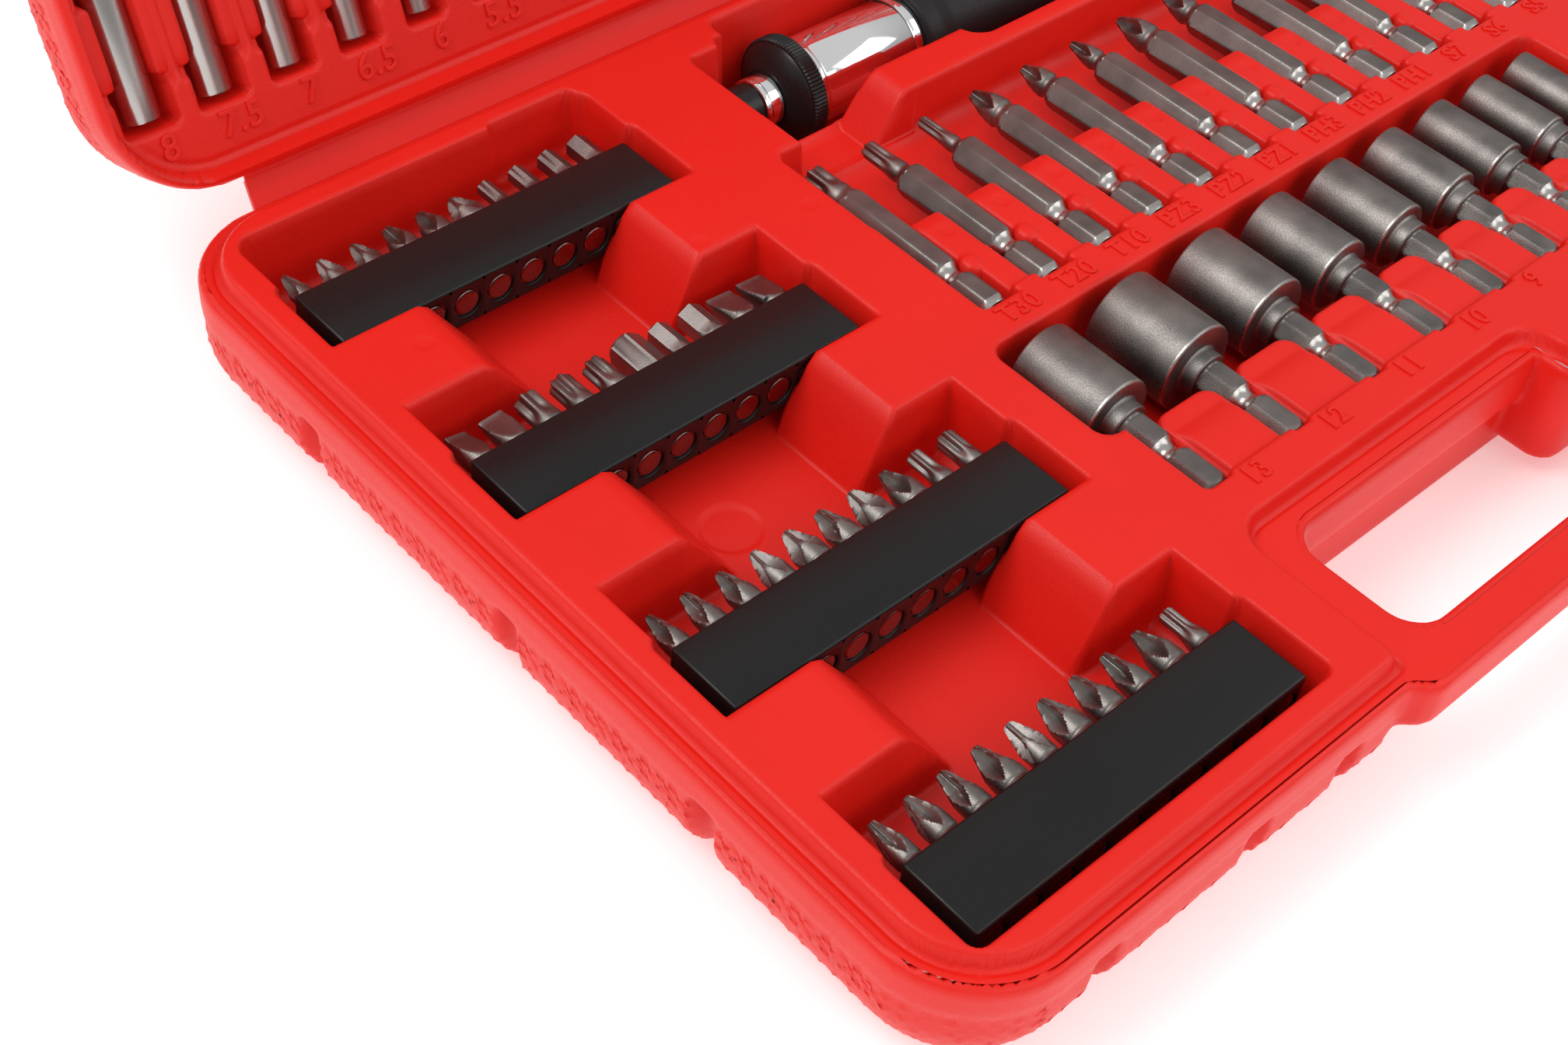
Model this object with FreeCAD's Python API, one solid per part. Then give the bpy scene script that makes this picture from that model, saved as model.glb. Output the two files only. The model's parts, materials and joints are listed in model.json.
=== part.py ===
import FreeCAD, Part
import math
import os

from FreeCAD import Vector

# Drill, bit and socket set in a two-half blow-moulded case, lying open on a table.
# Millimetres. X runs along the case, +Y goes from the handle to the hinge, +Z is up.
# The origin is on the table, under the middle of the base half.

# ---- case halves -------------------------------------------------------------------
CASE_WIDTH = 412.0          # along X
CASE_DEPTH = 207.0          # front wall to back wall, without the handle's step
HALF_HEIGHT = 26.5          # table to parting plane, one half
CORNER_R = 20.0             # plan corners
BOTTOM_R = 15.0             # rounding under each half
LEDGE = 3.5                 # flat rim around the raised deck
DECK_RISE = 3.0             # raised deck of the base above the parting plane
LID_RECESS = 3.3            # deck of the lid below its rim
PARTING_GAP = 0.3           # between the rims of the closed halves
FIT_GAP = 0.5               # around the raised deck inside the lid

HALF_W = CASE_WIDTH / 2
HALF_D = CASE_DEPTH / 2
DECK_Z = HALF_HEIGHT + DECK_RISE
LID_RIM_Z = HALF_HEIGHT + PARTING_GAP
LID_DECK_Z = LID_RIM_Z + LID_RECESS
LID_TOP_Z = LID_RIM_Z + HALF_HEIGHT

# ---- handle, at the front of both halves --------------------------------------------
HANDLE_HALF = 106.0         # half length of the handle bar
HANDLE_FRONT = -107.0       # front face, a step in front of the case wall
HANDLE_THICK = 12.0         # height of the bar in each half
OPENING_HALF = 96.0         # half length of the finger opening
OPENING_FRONT = -97.4
OPENING_BACK = -70.0
NOTCH_HALF = 104.0          # the raised deck stops short of the handle
NOTCH_BACK = -65.4
BULGE_HALF = 22.0           # block behind the latch, standing into the opening
BULGE_FRONT = -80.0

# ---- hinge: one moulded strip with a thin fold along each edge -----------------------
FOLD_Y = HALF_D + 1.1
FOLD_DROP = 3.5             # fold line below the parting plane
STRIP_THICK = 1.2
STRIP_HALF = 184.0          # half length along X
STRIP_WIDTH = 2 * FOLD_DROP + PARTING_GAP
OPEN_ANGLE = 113.5          # from closed to the stored pose
BASE_FOLD = Vector(0, FOLD_Y, HALF_HEIGHT - FOLD_DROP)
LID_FOLD_CLOSED = Vector(0, FOLD_Y, HALF_HEIGHT - FOLD_DROP + STRIP_WIDTH)

# ---- latch ---------------------------------------------------------------------------
LATCH_HALF = 12.0
LATCH_PIVOT_Z = 12.0
LATCH_PIVOT_Y = -83.8
LATCH_THICK = 2.8
LATCH_TOP_Z = 43.0
LATCH_OPEN = 15.0           # degrees from snapped shut to the stored pose
LATCH_PIN_R = 1.0
CATCH_Z = 40.0              # upper face of the catch on the lid

# ---- bit bars -------------------------------------------------------------------------
BAR_COUNT = 4
BAR_PITCH = 51.2
FIRST_BAR_BACK = 77.0
BAR_CENTRE_X = -156.5
BAR_LENGTH = 75.0
BAR_DEPTH = 15.3
BAR_HEIGHT = 10.0
BAR_TOP_Z = DECK_Z - 1.5
BITS_PER_BAR = 10
BIT_PITCH = 7.4
BIT_LENGTH = 25.0
HEX_AF = 6.35               # 1/4 inch hexagon across flats
HEX_CLEAR = 0.04            # round each hexagon in its hole

# ---- bays of the base half --------------------------------------------------------------
BAY_X = (-195.5, -116.5)    # left bay, bit bars; the right bay mirrors it
BAY_Y = (-92.5, 94.0)
BAR_SEAT_Z = BAR_TOP_Z - BAR_HEIGHT
BAY_FLOOR_Z = 13.0
BLOCK_REACH_LEFT = 20.0     # blocks that hold each bar from both ends
BLOCK_REACH_RIGHT = 17.0
BLOCK_DEPTH = 20.0
RIB_CLEAR = 0.4

# ---- power bits ----------------------------------------------------------------------------
POWER_NAMES = ["star_30", "star_20", "star_10", "pozi_3", "pozi_2", "pozi_1", "cross_3",
               "cross_2", "cross_1", "slot_7", "slot_6", "slot_5", "slot_4"]
POWER_PITCH = 15.0
POWER_FIRST_X = -95.0
POWER_TAIL_Y = -0.5
POWER_LENGTH = 50.0
POWER_AXIS_Z = 25.9
POWER_CAVITY_Y = (27.0, 55.0)
POWER_FLOOR_Z = 20.0
TAIL_LENGTH = 9.5           # hexagon behind the ball groove
GROOVE_LENGTH = 3.6
GROOVE_R = 2.3

# ---- nut drivers ---------------------------------------------------------------------------
NUT_SIZES = [13, 12, 11, 10, 9, 8, 7, 6, 5]
NUT_SOCKET_D = [16.0, 18.0, 17.0, 15.0, 14.0, 13.0, 12.0, 11.0, 10.0]
NUT_FIRST_X = -97.0
NUT_SPACE = 4.6             # between neighbouring sockets
NUT_TAIL_Y = -55.4
NUT_LENGTH = 42.0
NUT_SOCKET_LENGTH = 19.0
NUT_NECK_LENGTH = 3.0
NUT_NECK_R = 4.6
NUT_AXIS_Z = 25.0
NUT_CAVITY_Y = (-37.0, -9.0)
NUT_FLOOR_Z = 14.0

# ---- ratchet screwdriver, lying along X beside the hinge -----------------------------------
DRIVER_Y = 82.5
DRIVER_Z = 16.0
DRIVER_X = -91.5            # tip of the bit holder
HOLDER_LENGTH = 6.0
HOLDER_R = 4.8
HOLDER_NECK_R = 4.3         # inside the collar
COLLAR_LENGTH = 5.5
COLLAR_R = 5.2
RING_LENGTH = 12.0
RING_R = 12.0
BODY_LENGTH = 30.0
BODY_R = 9.6
GRIP_LENGTH = 92.0
GRIP_R = 13.0
SPINDLE_R = 3.0
DRIVER_FLOOR_Z = 2.7
DRIVER_PASSAGE_X = (-92.5, -72.0)   # finger room between the driver and the bit tips
TIP_RECESS_BACK = 88.8
BODY_FRONT = 64.5           # front edges of the pocket along the body and the grip
GRIP_FRONT = 60.0

# ---- sockets and extension bar in the right bay ---------------------------------------------
SOCKET_ROWS = [[13, 12, 11, 10], [9, 8, 7, 6], [5.5, 5, 4.5, 4]]
SOCKET_LENGTH = 25.0
SOCKET_WALL = 4.0           # socket outside diameter over the nut size
SOCKET_MIN_D = 11.0
SOCKET_FLOOR_Z = 11.0
SQUARE_DRIVE = 6.35
EXTENSION_LENGTH = 73.0
EXTENSION_R = 4.2
EXTENSION_HEAD_R = 6.0

# ---- drills in the lid -----------------------------------------------------------------------
TWIST_DRILLS = [(8, 117), (7.5, 109), (7, 109), (6.5, 101), (6, 93), (5.5, 93), (5, 86),
                (4.5, 80), (4, 75), (3.5, 70), (3, 61), (2.5, 57), (2, 49), (1.5, 40), (1, 34)]
REDUCED_SHANK = 0.8         # shank over drill size, above 3 mm
DRILL_FIRST_X = -195.8
DRILL_PITCH = 15.0
DRILL_FOLD_GAP = 13.8       # fold line to the shank ends
DRILL_SINK = 0.4            # drill surface below the lid's deck
SLOT_SIDE = 0.7
MASONRY_DRILLS = [(10, 95), (8, 90), (6, 85), (5, 80), (4, 75)]
MASONRY_FIRST_X = 34.0
MASONRY_PITCH = 17.0
SPADE_BITS = [(20, 120), (16, 115), (12, 110)]
SPADE_FIRST_X = 128.0
SPADE_PITCH = 25.0
SPADE_BLADE = 32.0
SPADE_THICK = 2.4
SPADE_SHAFT_R = 2.6


# ---- shape helpers ------------------------------------------------------------------------------
def block(x0, x1, y0, y1, z0, z1):
    return Part.makeBox(x1 - x0, y1 - y0, z1 - z0, Vector(x0, y0, z0))


def rounded_block(x0, x1, y0, y1, z0, z1, radius):
    """A block whose four upright edges are rounded."""
    corners = [(x1 - radius, y1 - radius, 0), (x0 + radius, y1 - radius, 90),
               (x0 + radius, y0 + radius, 180), (x1 - radius, y0 + radius, 270)]
    arcs = []
    for cx, cy, start in corners:
        ends = []
        for angle in (start, start + 45, start + 90):
            a = math.radians(angle)
            ends.append(Vector(cx + radius * math.cos(a), cy + radius * math.sin(a), z0))
        arcs.append(ends)
    edges = []
    for i, ends in enumerate(arcs):
        edges.append(Part.Arc(*ends).toShape())
        edges.append(Part.makeLine(ends[2], arcs[(i + 1) % 4][0]))
    face = Part.Face(Part.Wire(edges))
    return face.extrude(Vector(0, 0, z1 - z0))


def polygon_prism(points, z0, z1):
    wire = Part.makePolygon([Vector(x, y, z0) for x, y in points + points[:1]])
    return Part.Face(wire).extrude(Vector(0, 0, z1 - z0))


def cylinder(radius, start, direction, length):
    return Part.makeCylinder(radius, length, start, direction)


def cone(r0, r1, start, direction, length):
    return Part.makeCone(r0, r1, length, start, direction)


def hexagon(across_flats, start, along, length, up):
    """A hexagonal prism; `up` points at one of its flats."""
    side = along.cross(up)
    radius = across_flats / math.sqrt(3)
    points = []
    for k in range(7):
        a = math.radians(60 * k)
        points.append(start + side * (radius * math.cos(a)) + up * (radius * math.sin(a)))
    return Part.Face(Part.makePolygon(points)).extrude(along * length)


def fuse(shapes):
    return shapes[0].multiFuse(shapes[1:]).removeSplitter() if len(shapes) > 1 else shapes[0]


def round_edges(shape, radius, chosen):
    edges = [e for e in shape.Edges if chosen(e)]
    return shape.makeFillet(radius, edges)


def level_edge(z):
    """Picks the edges that lie in the level plane at height z."""
    def chosen(edge):
        box = edge.BoundBox
        return abs(box.ZMin - z) < 1e-4 and abs(box.ZMax - z) < 1e-4
    return chosen


# ---- case halves ---------------------------------------------------------------------------------
def deck_outline(z0, z1, grow):
    """The raised deck of the base, which stops short of the handle; grow widens it."""
    edge_w = HALF_W - LEDGE + grow
    edge_d = HALF_D - LEDGE + grow
    deck = rounded_block(-edge_w, edge_w, -edge_d, edge_d, z0, z1, CORNER_R - LEDGE + grow)
    notch_half = NOTCH_HALF - grow
    notch = block(-notch_half, notch_half, -HALF_D - 20, NOTCH_BACK - grow, z0, z1)
    tongue_base = BULGE_HALF + 5 + grow
    tongue_tip = BULGE_HALF - 6 + grow
    tongue_front = BULGE_FRONT + 5 - grow
    tongue = polygon_prism([(-tongue_base, NOTCH_BACK - grow), (-tongue_tip, tongue_front),
                            (tongue_tip, tongue_front), (tongue_base, NOTCH_BACK - grow)], z0, z1)
    return deck.cut(notch).fuse(tongue).removeSplitter()


def half_body():
    """Outside of one half, parting plane up: wall, handle bar, finger opening, latch block."""
    body = rounded_block(-HALF_W, HALF_W, -HALF_D, HALF_D, 0, HALF_HEIGHT, CORNER_R)
    body = round_edges(body, BOTTOM_R, level_edge(0))
    under = HALF_HEIGHT - HANDLE_THICK
    hollow = block(-HANDLE_HALF, HANDLE_HALF, -HALF_D - 1, OPENING_BACK + 2, -1, under)
    bar = rounded_block(-HANDLE_HALF, HANDLE_HALF, HANDLE_FRONT, OPENING_BACK + 10,
                        under, HALF_HEIGHT, 6.0)
    bar = round_edges(bar, 4.0, level_edge(under))
    opening = rounded_block(-OPENING_HALF, OPENING_HALF, OPENING_FRONT, OPENING_BACK,
                            under - 1, HALF_HEIGHT + 1, 7.0)
    latch_block = rounded_block(-BULGE_HALF, BULGE_HALF, BULGE_FRONT, OPENING_BACK + 12,
                                4.0, HALF_HEIGHT, 5.0)
    return fuse([body.cut(hollow), bar]).cut(opening).fuse(latch_block).removeSplitter()


def lid_half():
    """The same outside turned over on top of the base, closed."""
    lid = half_body()
    lid = lid.mirror(Vector(0, 0, 0), Vector(0, 0, 1))
    lid.translate(Vector(0, 0, LID_TOP_Z))
    return lid


def bar_back(row):
    return FIRST_BAR_BACK - row * BAR_PITCH


def bit_bay():
    """Left bay: seats for four bars, deeper floor between them, blocks at both ends."""
    top = DECK_Z + 1
    bay = rounded_block(BAY_X[0], BAY_X[1], BAY_Y[0], BAY_Y[1], BAY_FLOOR_Z, top, 3.0)
    for row in range(BAR_COUNT):
        back = bar_back(row)
        front = back - BAR_DEPTH
        for x0, x1 in ((BAY_X[0] - 1, BAY_X[0] + 12), (BAY_X[1] - 12, BAY_X[1] + 1)):
            seat = block(x0, x1, front - 1, back + 1, BAY_FLOOR_Z - 1, BAR_SEAT_Z)
            bay = bay.cut(seat)
        if row < BAR_COUNT - 1:
            low = front - RIB_CLEAR - BLOCK_DEPTH
            high = front - RIB_CLEAR
            left = rounded_block(BAY_X[0] - 8, BAY_X[0] + BLOCK_REACH_LEFT, low, high,
                                 BAY_FLOOR_Z - 1, top + 1, 4.0)
            right = rounded_block(BAY_X[1] - BLOCK_REACH_RIGHT, BAY_X[1] + 8, low, high,
                                  BAY_FLOOR_Z - 1, top + 1, 4.0)
            bay = bay.cut(left).cut(right)
    return bay


def power_x(index):
    return POWER_FIRST_X + index * POWER_PITCH


def power_pockets():
    """One cavity for the tips and a channel for each shank."""
    top = DECK_Z + 1
    last = power_x(len(POWER_NAMES) - 1)
    half_slot = HEX_AF / math.sqrt(3) + RIB_CLEAR
    pockets = [rounded_block(power_x(0) - half_slot, last + half_slot, *POWER_CAVITY_Y,
                             POWER_FLOOR_Z - 2, top, 2.0)]
    for index in range(len(POWER_NAMES)):
        x = power_x(index)
        pockets.append(block(x - half_slot, x + half_slot, POWER_TAIL_Y - RIB_CLEAR,
                             POWER_CAVITY_Y[0] + 3, POWER_FLOOR_Z, top))
    return fuse(pockets)


def nut_positions():
    xs = [NUT_FIRST_X]
    for one, two in zip(NUT_SOCKET_D, NUT_SOCKET_D[1:]):
        xs.append(xs[-1] + (one + two) / 2 + NUT_SPACE)
    return xs


def nut_pockets():
    """One cavity for the sockets and a channel for each shank."""
    top = DECK_Z + 1
    xs = nut_positions()
    half_slot = HEX_AF / math.sqrt(3) + RIB_CLEAR
    left = xs[0] - NUT_SOCKET_D[0] / 2 - 0.8
    right = xs[-1] + NUT_SOCKET_D[-1] / 2 + 3
    pockets = [rounded_block(left, right, *NUT_CAVITY_Y, NUT_FLOOR_Z, top, 3.0)]
    for x in xs:
        pockets.append(block(x - half_slot, x + half_slot, NUT_TAIL_Y - RIB_CLEAR,
                             NUT_CAVITY_Y[0] + 3, NUT_FLOOR_Z + 5, top))
    return fuse(pockets)


def driver_stations():
    """X positions of the driver's shoulders, tip first."""
    stations = [DRIVER_X]
    for length in (HOLDER_LENGTH, COLLAR_LENGTH, RING_LENGTH, BODY_LENGTH, GRIP_LENGTH):
        stations.append(stations[-1] + length)
    return stations


def driver_pocket():
    """Narrow at the tip, wide along the body, widest along the grip."""
    tip, holder, collar, ring, body, end = driver_stations()
    top = DECK_Z + 1
    back = DRIVER_Y + GRIP_R + 0.8
    along_body = rounded_block(collar - 1.0, body + 6, BODY_FRONT, back, DRIVER_FLOOR_Z, top, 3.0)
    along_grip = rounded_block(body - 1, end + 3, GRIP_FRONT, back, DRIVER_FLOOR_Z, top, 4.0)
    recess = rounded_block(DRIVER_PASSAGE_X[0], collar + 4, BODY_FRONT, TIP_RECESS_BACK,
                           DRIVER_FLOOR_Z, top, 2.0)
    passage = block(*DRIVER_PASSAGE_X, POWER_CAVITY_Y[1] - 3, BODY_FRONT + 4,
                    POWER_FLOOR_Z - 2, top)
    return fuse([along_body, along_grip, recess, passage])


def socket_x(column):
    step = BAR_LENGTH / len(SOCKET_ROWS[0])
    return -BAR_CENTRE_X + (column - 1.5) * step


def socket_d(size):
    return max(size + SOCKET_WALL, SOCKET_MIN_D)


def socket_y(row):
    return bar_back(row) - BAR_DEPTH / 2


def socket_bay():
    """Right bay: a trough for each row of sockets and one for the extension bar."""
    top = DECK_Z + 1
    troughs = []
    half = SOCKET_LENGTH / 2 + 0.6
    for row in range(len(SOCKET_ROWS)):
        y = socket_y(row)
        troughs.append(rounded_block(-BAY_X[1], -BAY_X[0], y - half, y + half,
                                     SOCKET_FLOOR_Z, top, 3.0))
    y = socket_y(len(SOCKET_ROWS))
    troughs.append(rounded_block(-BAY_X[1], -BAY_X[0], y - 9, y + 9, SOCKET_FLOOR_Z, top, 3.0))
    return Part.makeCompound(troughs)


def case_base():
    base = half_body().fuse(deck_outline(HALF_HEIGHT - 1, DECK_Z, 0.0)).removeSplitter()
    for pocket in (bit_bay(), power_pockets(), nut_pockets(), driver_pocket(), socket_bay()):
        base = base.cut(pocket)
    ears = []
    for side in (-1, 1):
        inner = side * (LATCH_HALF + 0.4)
        outer = side * (LATCH_HALF + 3.4)
        ear = block(min(inner, outer), max(inner, outer), LATCH_PIVOT_Y - 2.2, BULGE_FRONT + 2,
                    LATCH_PIVOT_Z - 2.4, LATCH_PIVOT_Z + 2.4)
        ears.append(ear)
    base = base.multiFuse(ears)
    pin_hole = cylinder(LATCH_PIN_R, Vector(-LATCH_HALF - 5, LATCH_PIVOT_Y, LATCH_PIVOT_Z),
                        Vector(1, 0, 0), 2 * LATCH_HALF + 10)
    return base.cut(pin_hole).removeSplitter()


def shank_radius(size):
    return size * (REDUCED_SHANK if size > 3 else 1.0) / 2


def drill_slots():
    """Channels in the lid's deck, open towards the base when closed."""
    slots = []
    start = FOLD_Y - DRILL_FOLD_GAP + 1.5
    low = LID_RIM_Z
    for index, (size, length) in enumerate(TWIST_DRILLS):
        x = DRILL_FIRST_X + index * DRILL_PITCH
        half = size / 2 + SLOT_SIDE
        slots.append(block(x - half, x + half, start - length - 3, start, low,
                           LID_DECK_Z + size + 2 * DRILL_SINK))
    for index, (size, length) in enumerate(MASONRY_DRILLS):
        x = MASONRY_FIRST_X + index * MASONRY_PITCH
        half = size / 2 + SLOT_SIDE
        slots.append(block(x - half, x + half, start - length - 3, start, low,
                           LID_DECK_Z + size + 2 * DRILL_SINK))
    for index, (width, length) in enumerate(SPADE_BITS):
        x = SPADE_FIRST_X + index * SPADE_PITCH
        half = width / 2 + SLOT_SIDE
        slots.append(block(x - half, x + half, start - length - 3, start - length + SPADE_BLADE + 2,
                           low, LID_DECK_Z + 8.4))
        slots.append(block(x - 4.5, x + 4.5, start - length, start, low, LID_DECK_Z + 8.4))
    return slots


def case_lid():
    """The lid, closed: recess over the raised deck, drill slots, room for the sockets."""
    lid = lid_half()
    lid = lid.cut(deck_outline(LID_RIM_Z - 1, LID_DECK_Z, FIT_GAP))
    xs = nut_positions()
    relief = rounded_block(xs[0] - 11, xs[-1] + 8, NUT_CAVITY_Y[0] - 0.5, NUT_CAVITY_Y[1] + 0.5,
                           LID_RIM_Z, LID_DECK_Z + 5.2, 4.0)
    lid = lid.cut(relief)
    for slot in drill_slots():
        lid = lid.cut(slot)
    catch = block(-10, 10, BULGE_FRONT - 1.8, BULGE_FRONT + 1, CATCH_Z - 2.6, CATCH_Z)
    return lid.fuse(catch).removeSplitter()


def hinge_strip():
    """The strip between the two folds, upright as it stands when the case is closed."""
    inset = STRIP_THICK / 2
    strip = block(-STRIP_HALF, STRIP_HALF, FOLD_Y - inset, FOLD_Y + inset,
                  BASE_FOLD.z + 0.3, LID_FOLD_CLOSED.z - 0.3)
    along_x = [e for e in strip.Edges if e.BoundBox.XLength > STRIP_HALF]
    return strip.makeFillet(0.45, along_x)


# ---- latch -----------------------------------------------------------------------------------------
def latch():
    """Snapped shut: a flap on a pin, with a hook over the catch on the lid."""
    front = BULGE_FRONT - 2.2 - LATCH_THICK
    flap = block(-LATCH_HALF, LATCH_HALF, front, front + LATCH_THICK, LATCH_PIVOT_Z, LATCH_TOP_Z)
    hook = block(-LATCH_HALF, LATCH_HALF, front, BULGE_FRONT - 0.5, CATCH_Z + 0.4, LATCH_TOP_Z)
    knuckle = cylinder(2.0, Vector(-LATCH_HALF, LATCH_PIVOT_Y, LATCH_PIVOT_Z),
                       Vector(1, 0, 0), 2 * LATCH_HALF)
    lip = block(-LATCH_HALF, LATCH_HALF, front - 2.5, front + 1, LATCH_TOP_Z - 1.8, LATCH_TOP_Z)
    bore = cylinder(LATCH_PIN_R + 0.05, Vector(-LATCH_HALF - 1, LATCH_PIVOT_Y, LATCH_PIVOT_Z),
                    Vector(1, 0, 0), 2 * LATCH_HALF + 2)
    return fuse([flap, hook, knuckle, lip]).cut(bore)


def latch_pin():
    return cylinder(LATCH_PIN_R, Vector(-LATCH_HALF - 3.4, LATCH_PIVOT_Y, LATCH_PIVOT_Z),
                    Vector(1, 0, 0), 2 * (LATCH_HALF + 3.4))


# ---- bit bars ----------------------------------------------------------------------------------------
UP = Vector(0, 0, 1)
BACK = Vector(0, 1, 0)
RIGHT = Vector(1, 0, 0)


def bit_places(row):
    y = bar_back(row) - BAR_DEPTH
    z = BAR_TOP_Z - BAR_HEIGHT / 2
    first = BAR_CENTRE_X - BIT_PITCH * (BITS_PER_BAR - 1) / 2
    return [Vector(first + k * BIT_PITCH, y, z) for k in range(BITS_PER_BAR)]


def bit_bar(row):
    back = bar_back(row)
    half = BAR_LENGTH / 2
    bar = block(BAR_CENTRE_X - half, BAR_CENTRE_X + half, back - BAR_DEPTH, back,
                BAR_SEAT_Z, BAR_TOP_Z)
    bar = bar.makeChamfer(0.6, bar.Edges)
    holes = [hexagon(HEX_AF + 2 * HEX_CLEAR, p - BACK, BACK, BAR_DEPTH + 2, RIGHT)
             for p in bit_places(row)]
    return bar.cut(Part.makeCompound(holes))


def insert_bit(place):
    """A hexagon shank, a round neck and a pointed tip, facing the hinge."""
    shank = 15.6
    neck = 3.4
    seat = place + BACK * 0.5
    hexagonal = hexagon(HEX_AF, seat, BACK, shank, RIGHT)
    neck_part = cylinder(2.6, seat + BACK * shank, BACK, neck)
    tip = cone(3.0, 0.6, seat + BACK * (shank + neck), BACK, BIT_LENGTH - shank - neck)
    return fuse([hexagonal, neck_part, tip])


def bar_bits(row):
    return Part.makeCompound([insert_bit(p) for p in bit_places(row)])


# ---- power bits and nut drivers -------------------------------------------------------------------------
def quick_shank(tail, length):
    """A 1/4 inch hexagon shank with its ball groove, from the tail towards the hinge."""
    rear = hexagon(HEX_AF, tail, BACK, TAIL_LENGTH, UP)
    groove = cylinder(GROOVE_R, tail + BACK * TAIL_LENGTH, BACK, GROOVE_LENGTH)
    start = TAIL_LENGTH + GROOVE_LENGTH
    front = hexagon(HEX_AF, tail + BACK * start, BACK, length - start, UP)
    return fuse([rear, groove, front])


def power_bit(index):
    tail = Vector(power_x(index), POWER_TAIL_Y, POWER_AXIS_Z)
    shank_length = POWER_LENGTH - 11.0
    shank = quick_shank(tail, shank_length)
    neck = cylinder(2.5, tail + BACK * shank_length, BACK, 4.0)
    tip = cone(2.9, 1.0, tail + BACK * (shank_length + 4.0), BACK, 7.0)
    return fuse([shank, neck, tip])


def nut_driver(index, x):
    tail = Vector(x, NUT_TAIL_Y, NUT_AXIS_Z)
    size = NUT_SIZES[index]
    radius = NUT_SOCKET_D[index] / 2
    neck_start = NUT_LENGTH - NUT_SOCKET_LENGTH - NUT_NECK_LENGTH
    shank = quick_shank(tail, neck_start)
    neck = cylinder(min(NUT_NECK_R, radius - 0.8), tail + BACK * neck_start, BACK, NUT_NECK_LENGTH)
    socket = cylinder(radius, tail + BACK * (neck_start + NUT_NECK_LENGTH), BACK, NUT_SOCKET_LENGTH)
    mouth = hexagon(size, tail + BACK * (NUT_LENGTH - 11), BACK, 12, UP)
    return fuse([shank, neck, socket]).cut(mouth)


# ---- ratchet screwdriver --------------------------------------------------------------------------------
def on_axis(x):
    return Vector(x, DRIVER_Y, DRIVER_Z)


def bit_holder():
    """Turns in the body: hexagon socket at the tip, neck for the collar, spindle inside."""
    tip, holder, collar, ring, body, end = driver_stations()
    nose = cylinder(HOLDER_R, on_axis(tip), RIGHT, HOLDER_LENGTH)
    neck = cylinder(HOLDER_NECK_R, on_axis(holder), RIGHT, COLLAR_LENGTH - 0.3)
    socket = hexagon(HEX_AF, on_axis(tip - 1), RIGHT, 10, UP)
    spindle = cylinder(SPINDLE_R, on_axis(holder), RIGHT, body - 9 - holder)
    return fuse([nose, neck, spindle]).cut(socket)


def spindle_collar():
    tip, holder, collar, ring, body, end = driver_stations()
    sleeve = cylinder(COLLAR_R, on_axis(holder), RIGHT, COLLAR_LENGTH - 0.3)
    return sleeve.cut(cylinder(HOLDER_NECK_R, on_axis(holder - 1), RIGHT, COLLAR_LENGTH + 2))


def selector_ring():
    """Turns between forward, locked and reverse; a cone in front, a knurled rim behind."""
    tip, holder, collar, ring, body, end = driver_stations()
    front = cone(COLLAR_R + 1.5, RING_R, on_axis(collar), RIGHT, 6.0)
    rim = cylinder(RING_R, on_axis(collar + 6.0), RIGHT, RING_LENGTH - 6.3)
    bore = cylinder(SPINDLE_R + 0.6, on_axis(collar - 1), RIGHT, RING_LENGTH + 2)
    return fuse([front, rim]).cut(bore)


def ratchet_body():
    """Chrome tube with the ratchet chamber behind its front wall."""
    tip, holder, collar, ring, body, end = driver_stations()
    tube = cylinder(BODY_R, on_axis(ring), RIGHT, BODY_LENGTH)
    bore = cylinder(SPINDLE_R + 0.05, on_axis(ring - 1), RIGHT, BODY_LENGTH - 8)
    chamber = cylinder(BODY_R - 1.6, on_axis(ring + 4), RIGHT, 12.0)
    return tube.cut(bore).cut(chamber)


def ratchet_gear():
    """Toothed wheel fixed on the spindle inside the chamber."""
    tip, holder, collar, ring, body, end = driver_stations()
    teeth = 16
    outline = []
    for k in range(teeth):
        for part, radius in ((0.0, 4.6), (0.25, 5.6), (0.5, 5.6), (0.75, 4.6)):
            a = 2 * math.pi * (k + part) / teeth
            outline.append(on_axis(ring + 5) + Vector(0, radius * math.cos(a), radius * math.sin(a)))
    wheel = Part.Face(Part.makePolygon(outline + outline[:1])).extrude(RIGHT * 9.0)
    return wheel.cut(cylinder(SPINDLE_R, on_axis(ring), RIGHT, 20))


def ratchet_pawls():
    """Two pawls either side of the gear, held by the body."""
    tip, holder, collar, ring, body, end = driver_stations()
    pawls = []
    for side in (-1, 1):
        y0 = DRIVER_Y + side * 5.9
        y1 = DRIVER_Y + side * 7.6
        pawls.append(block(ring + 6, ring + 13, min(y0, y1), max(y0, y1),
                           DRIVER_Z - 1.6, DRIVER_Z + 1.6))
    return Part.makeCompound(pawls)


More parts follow.
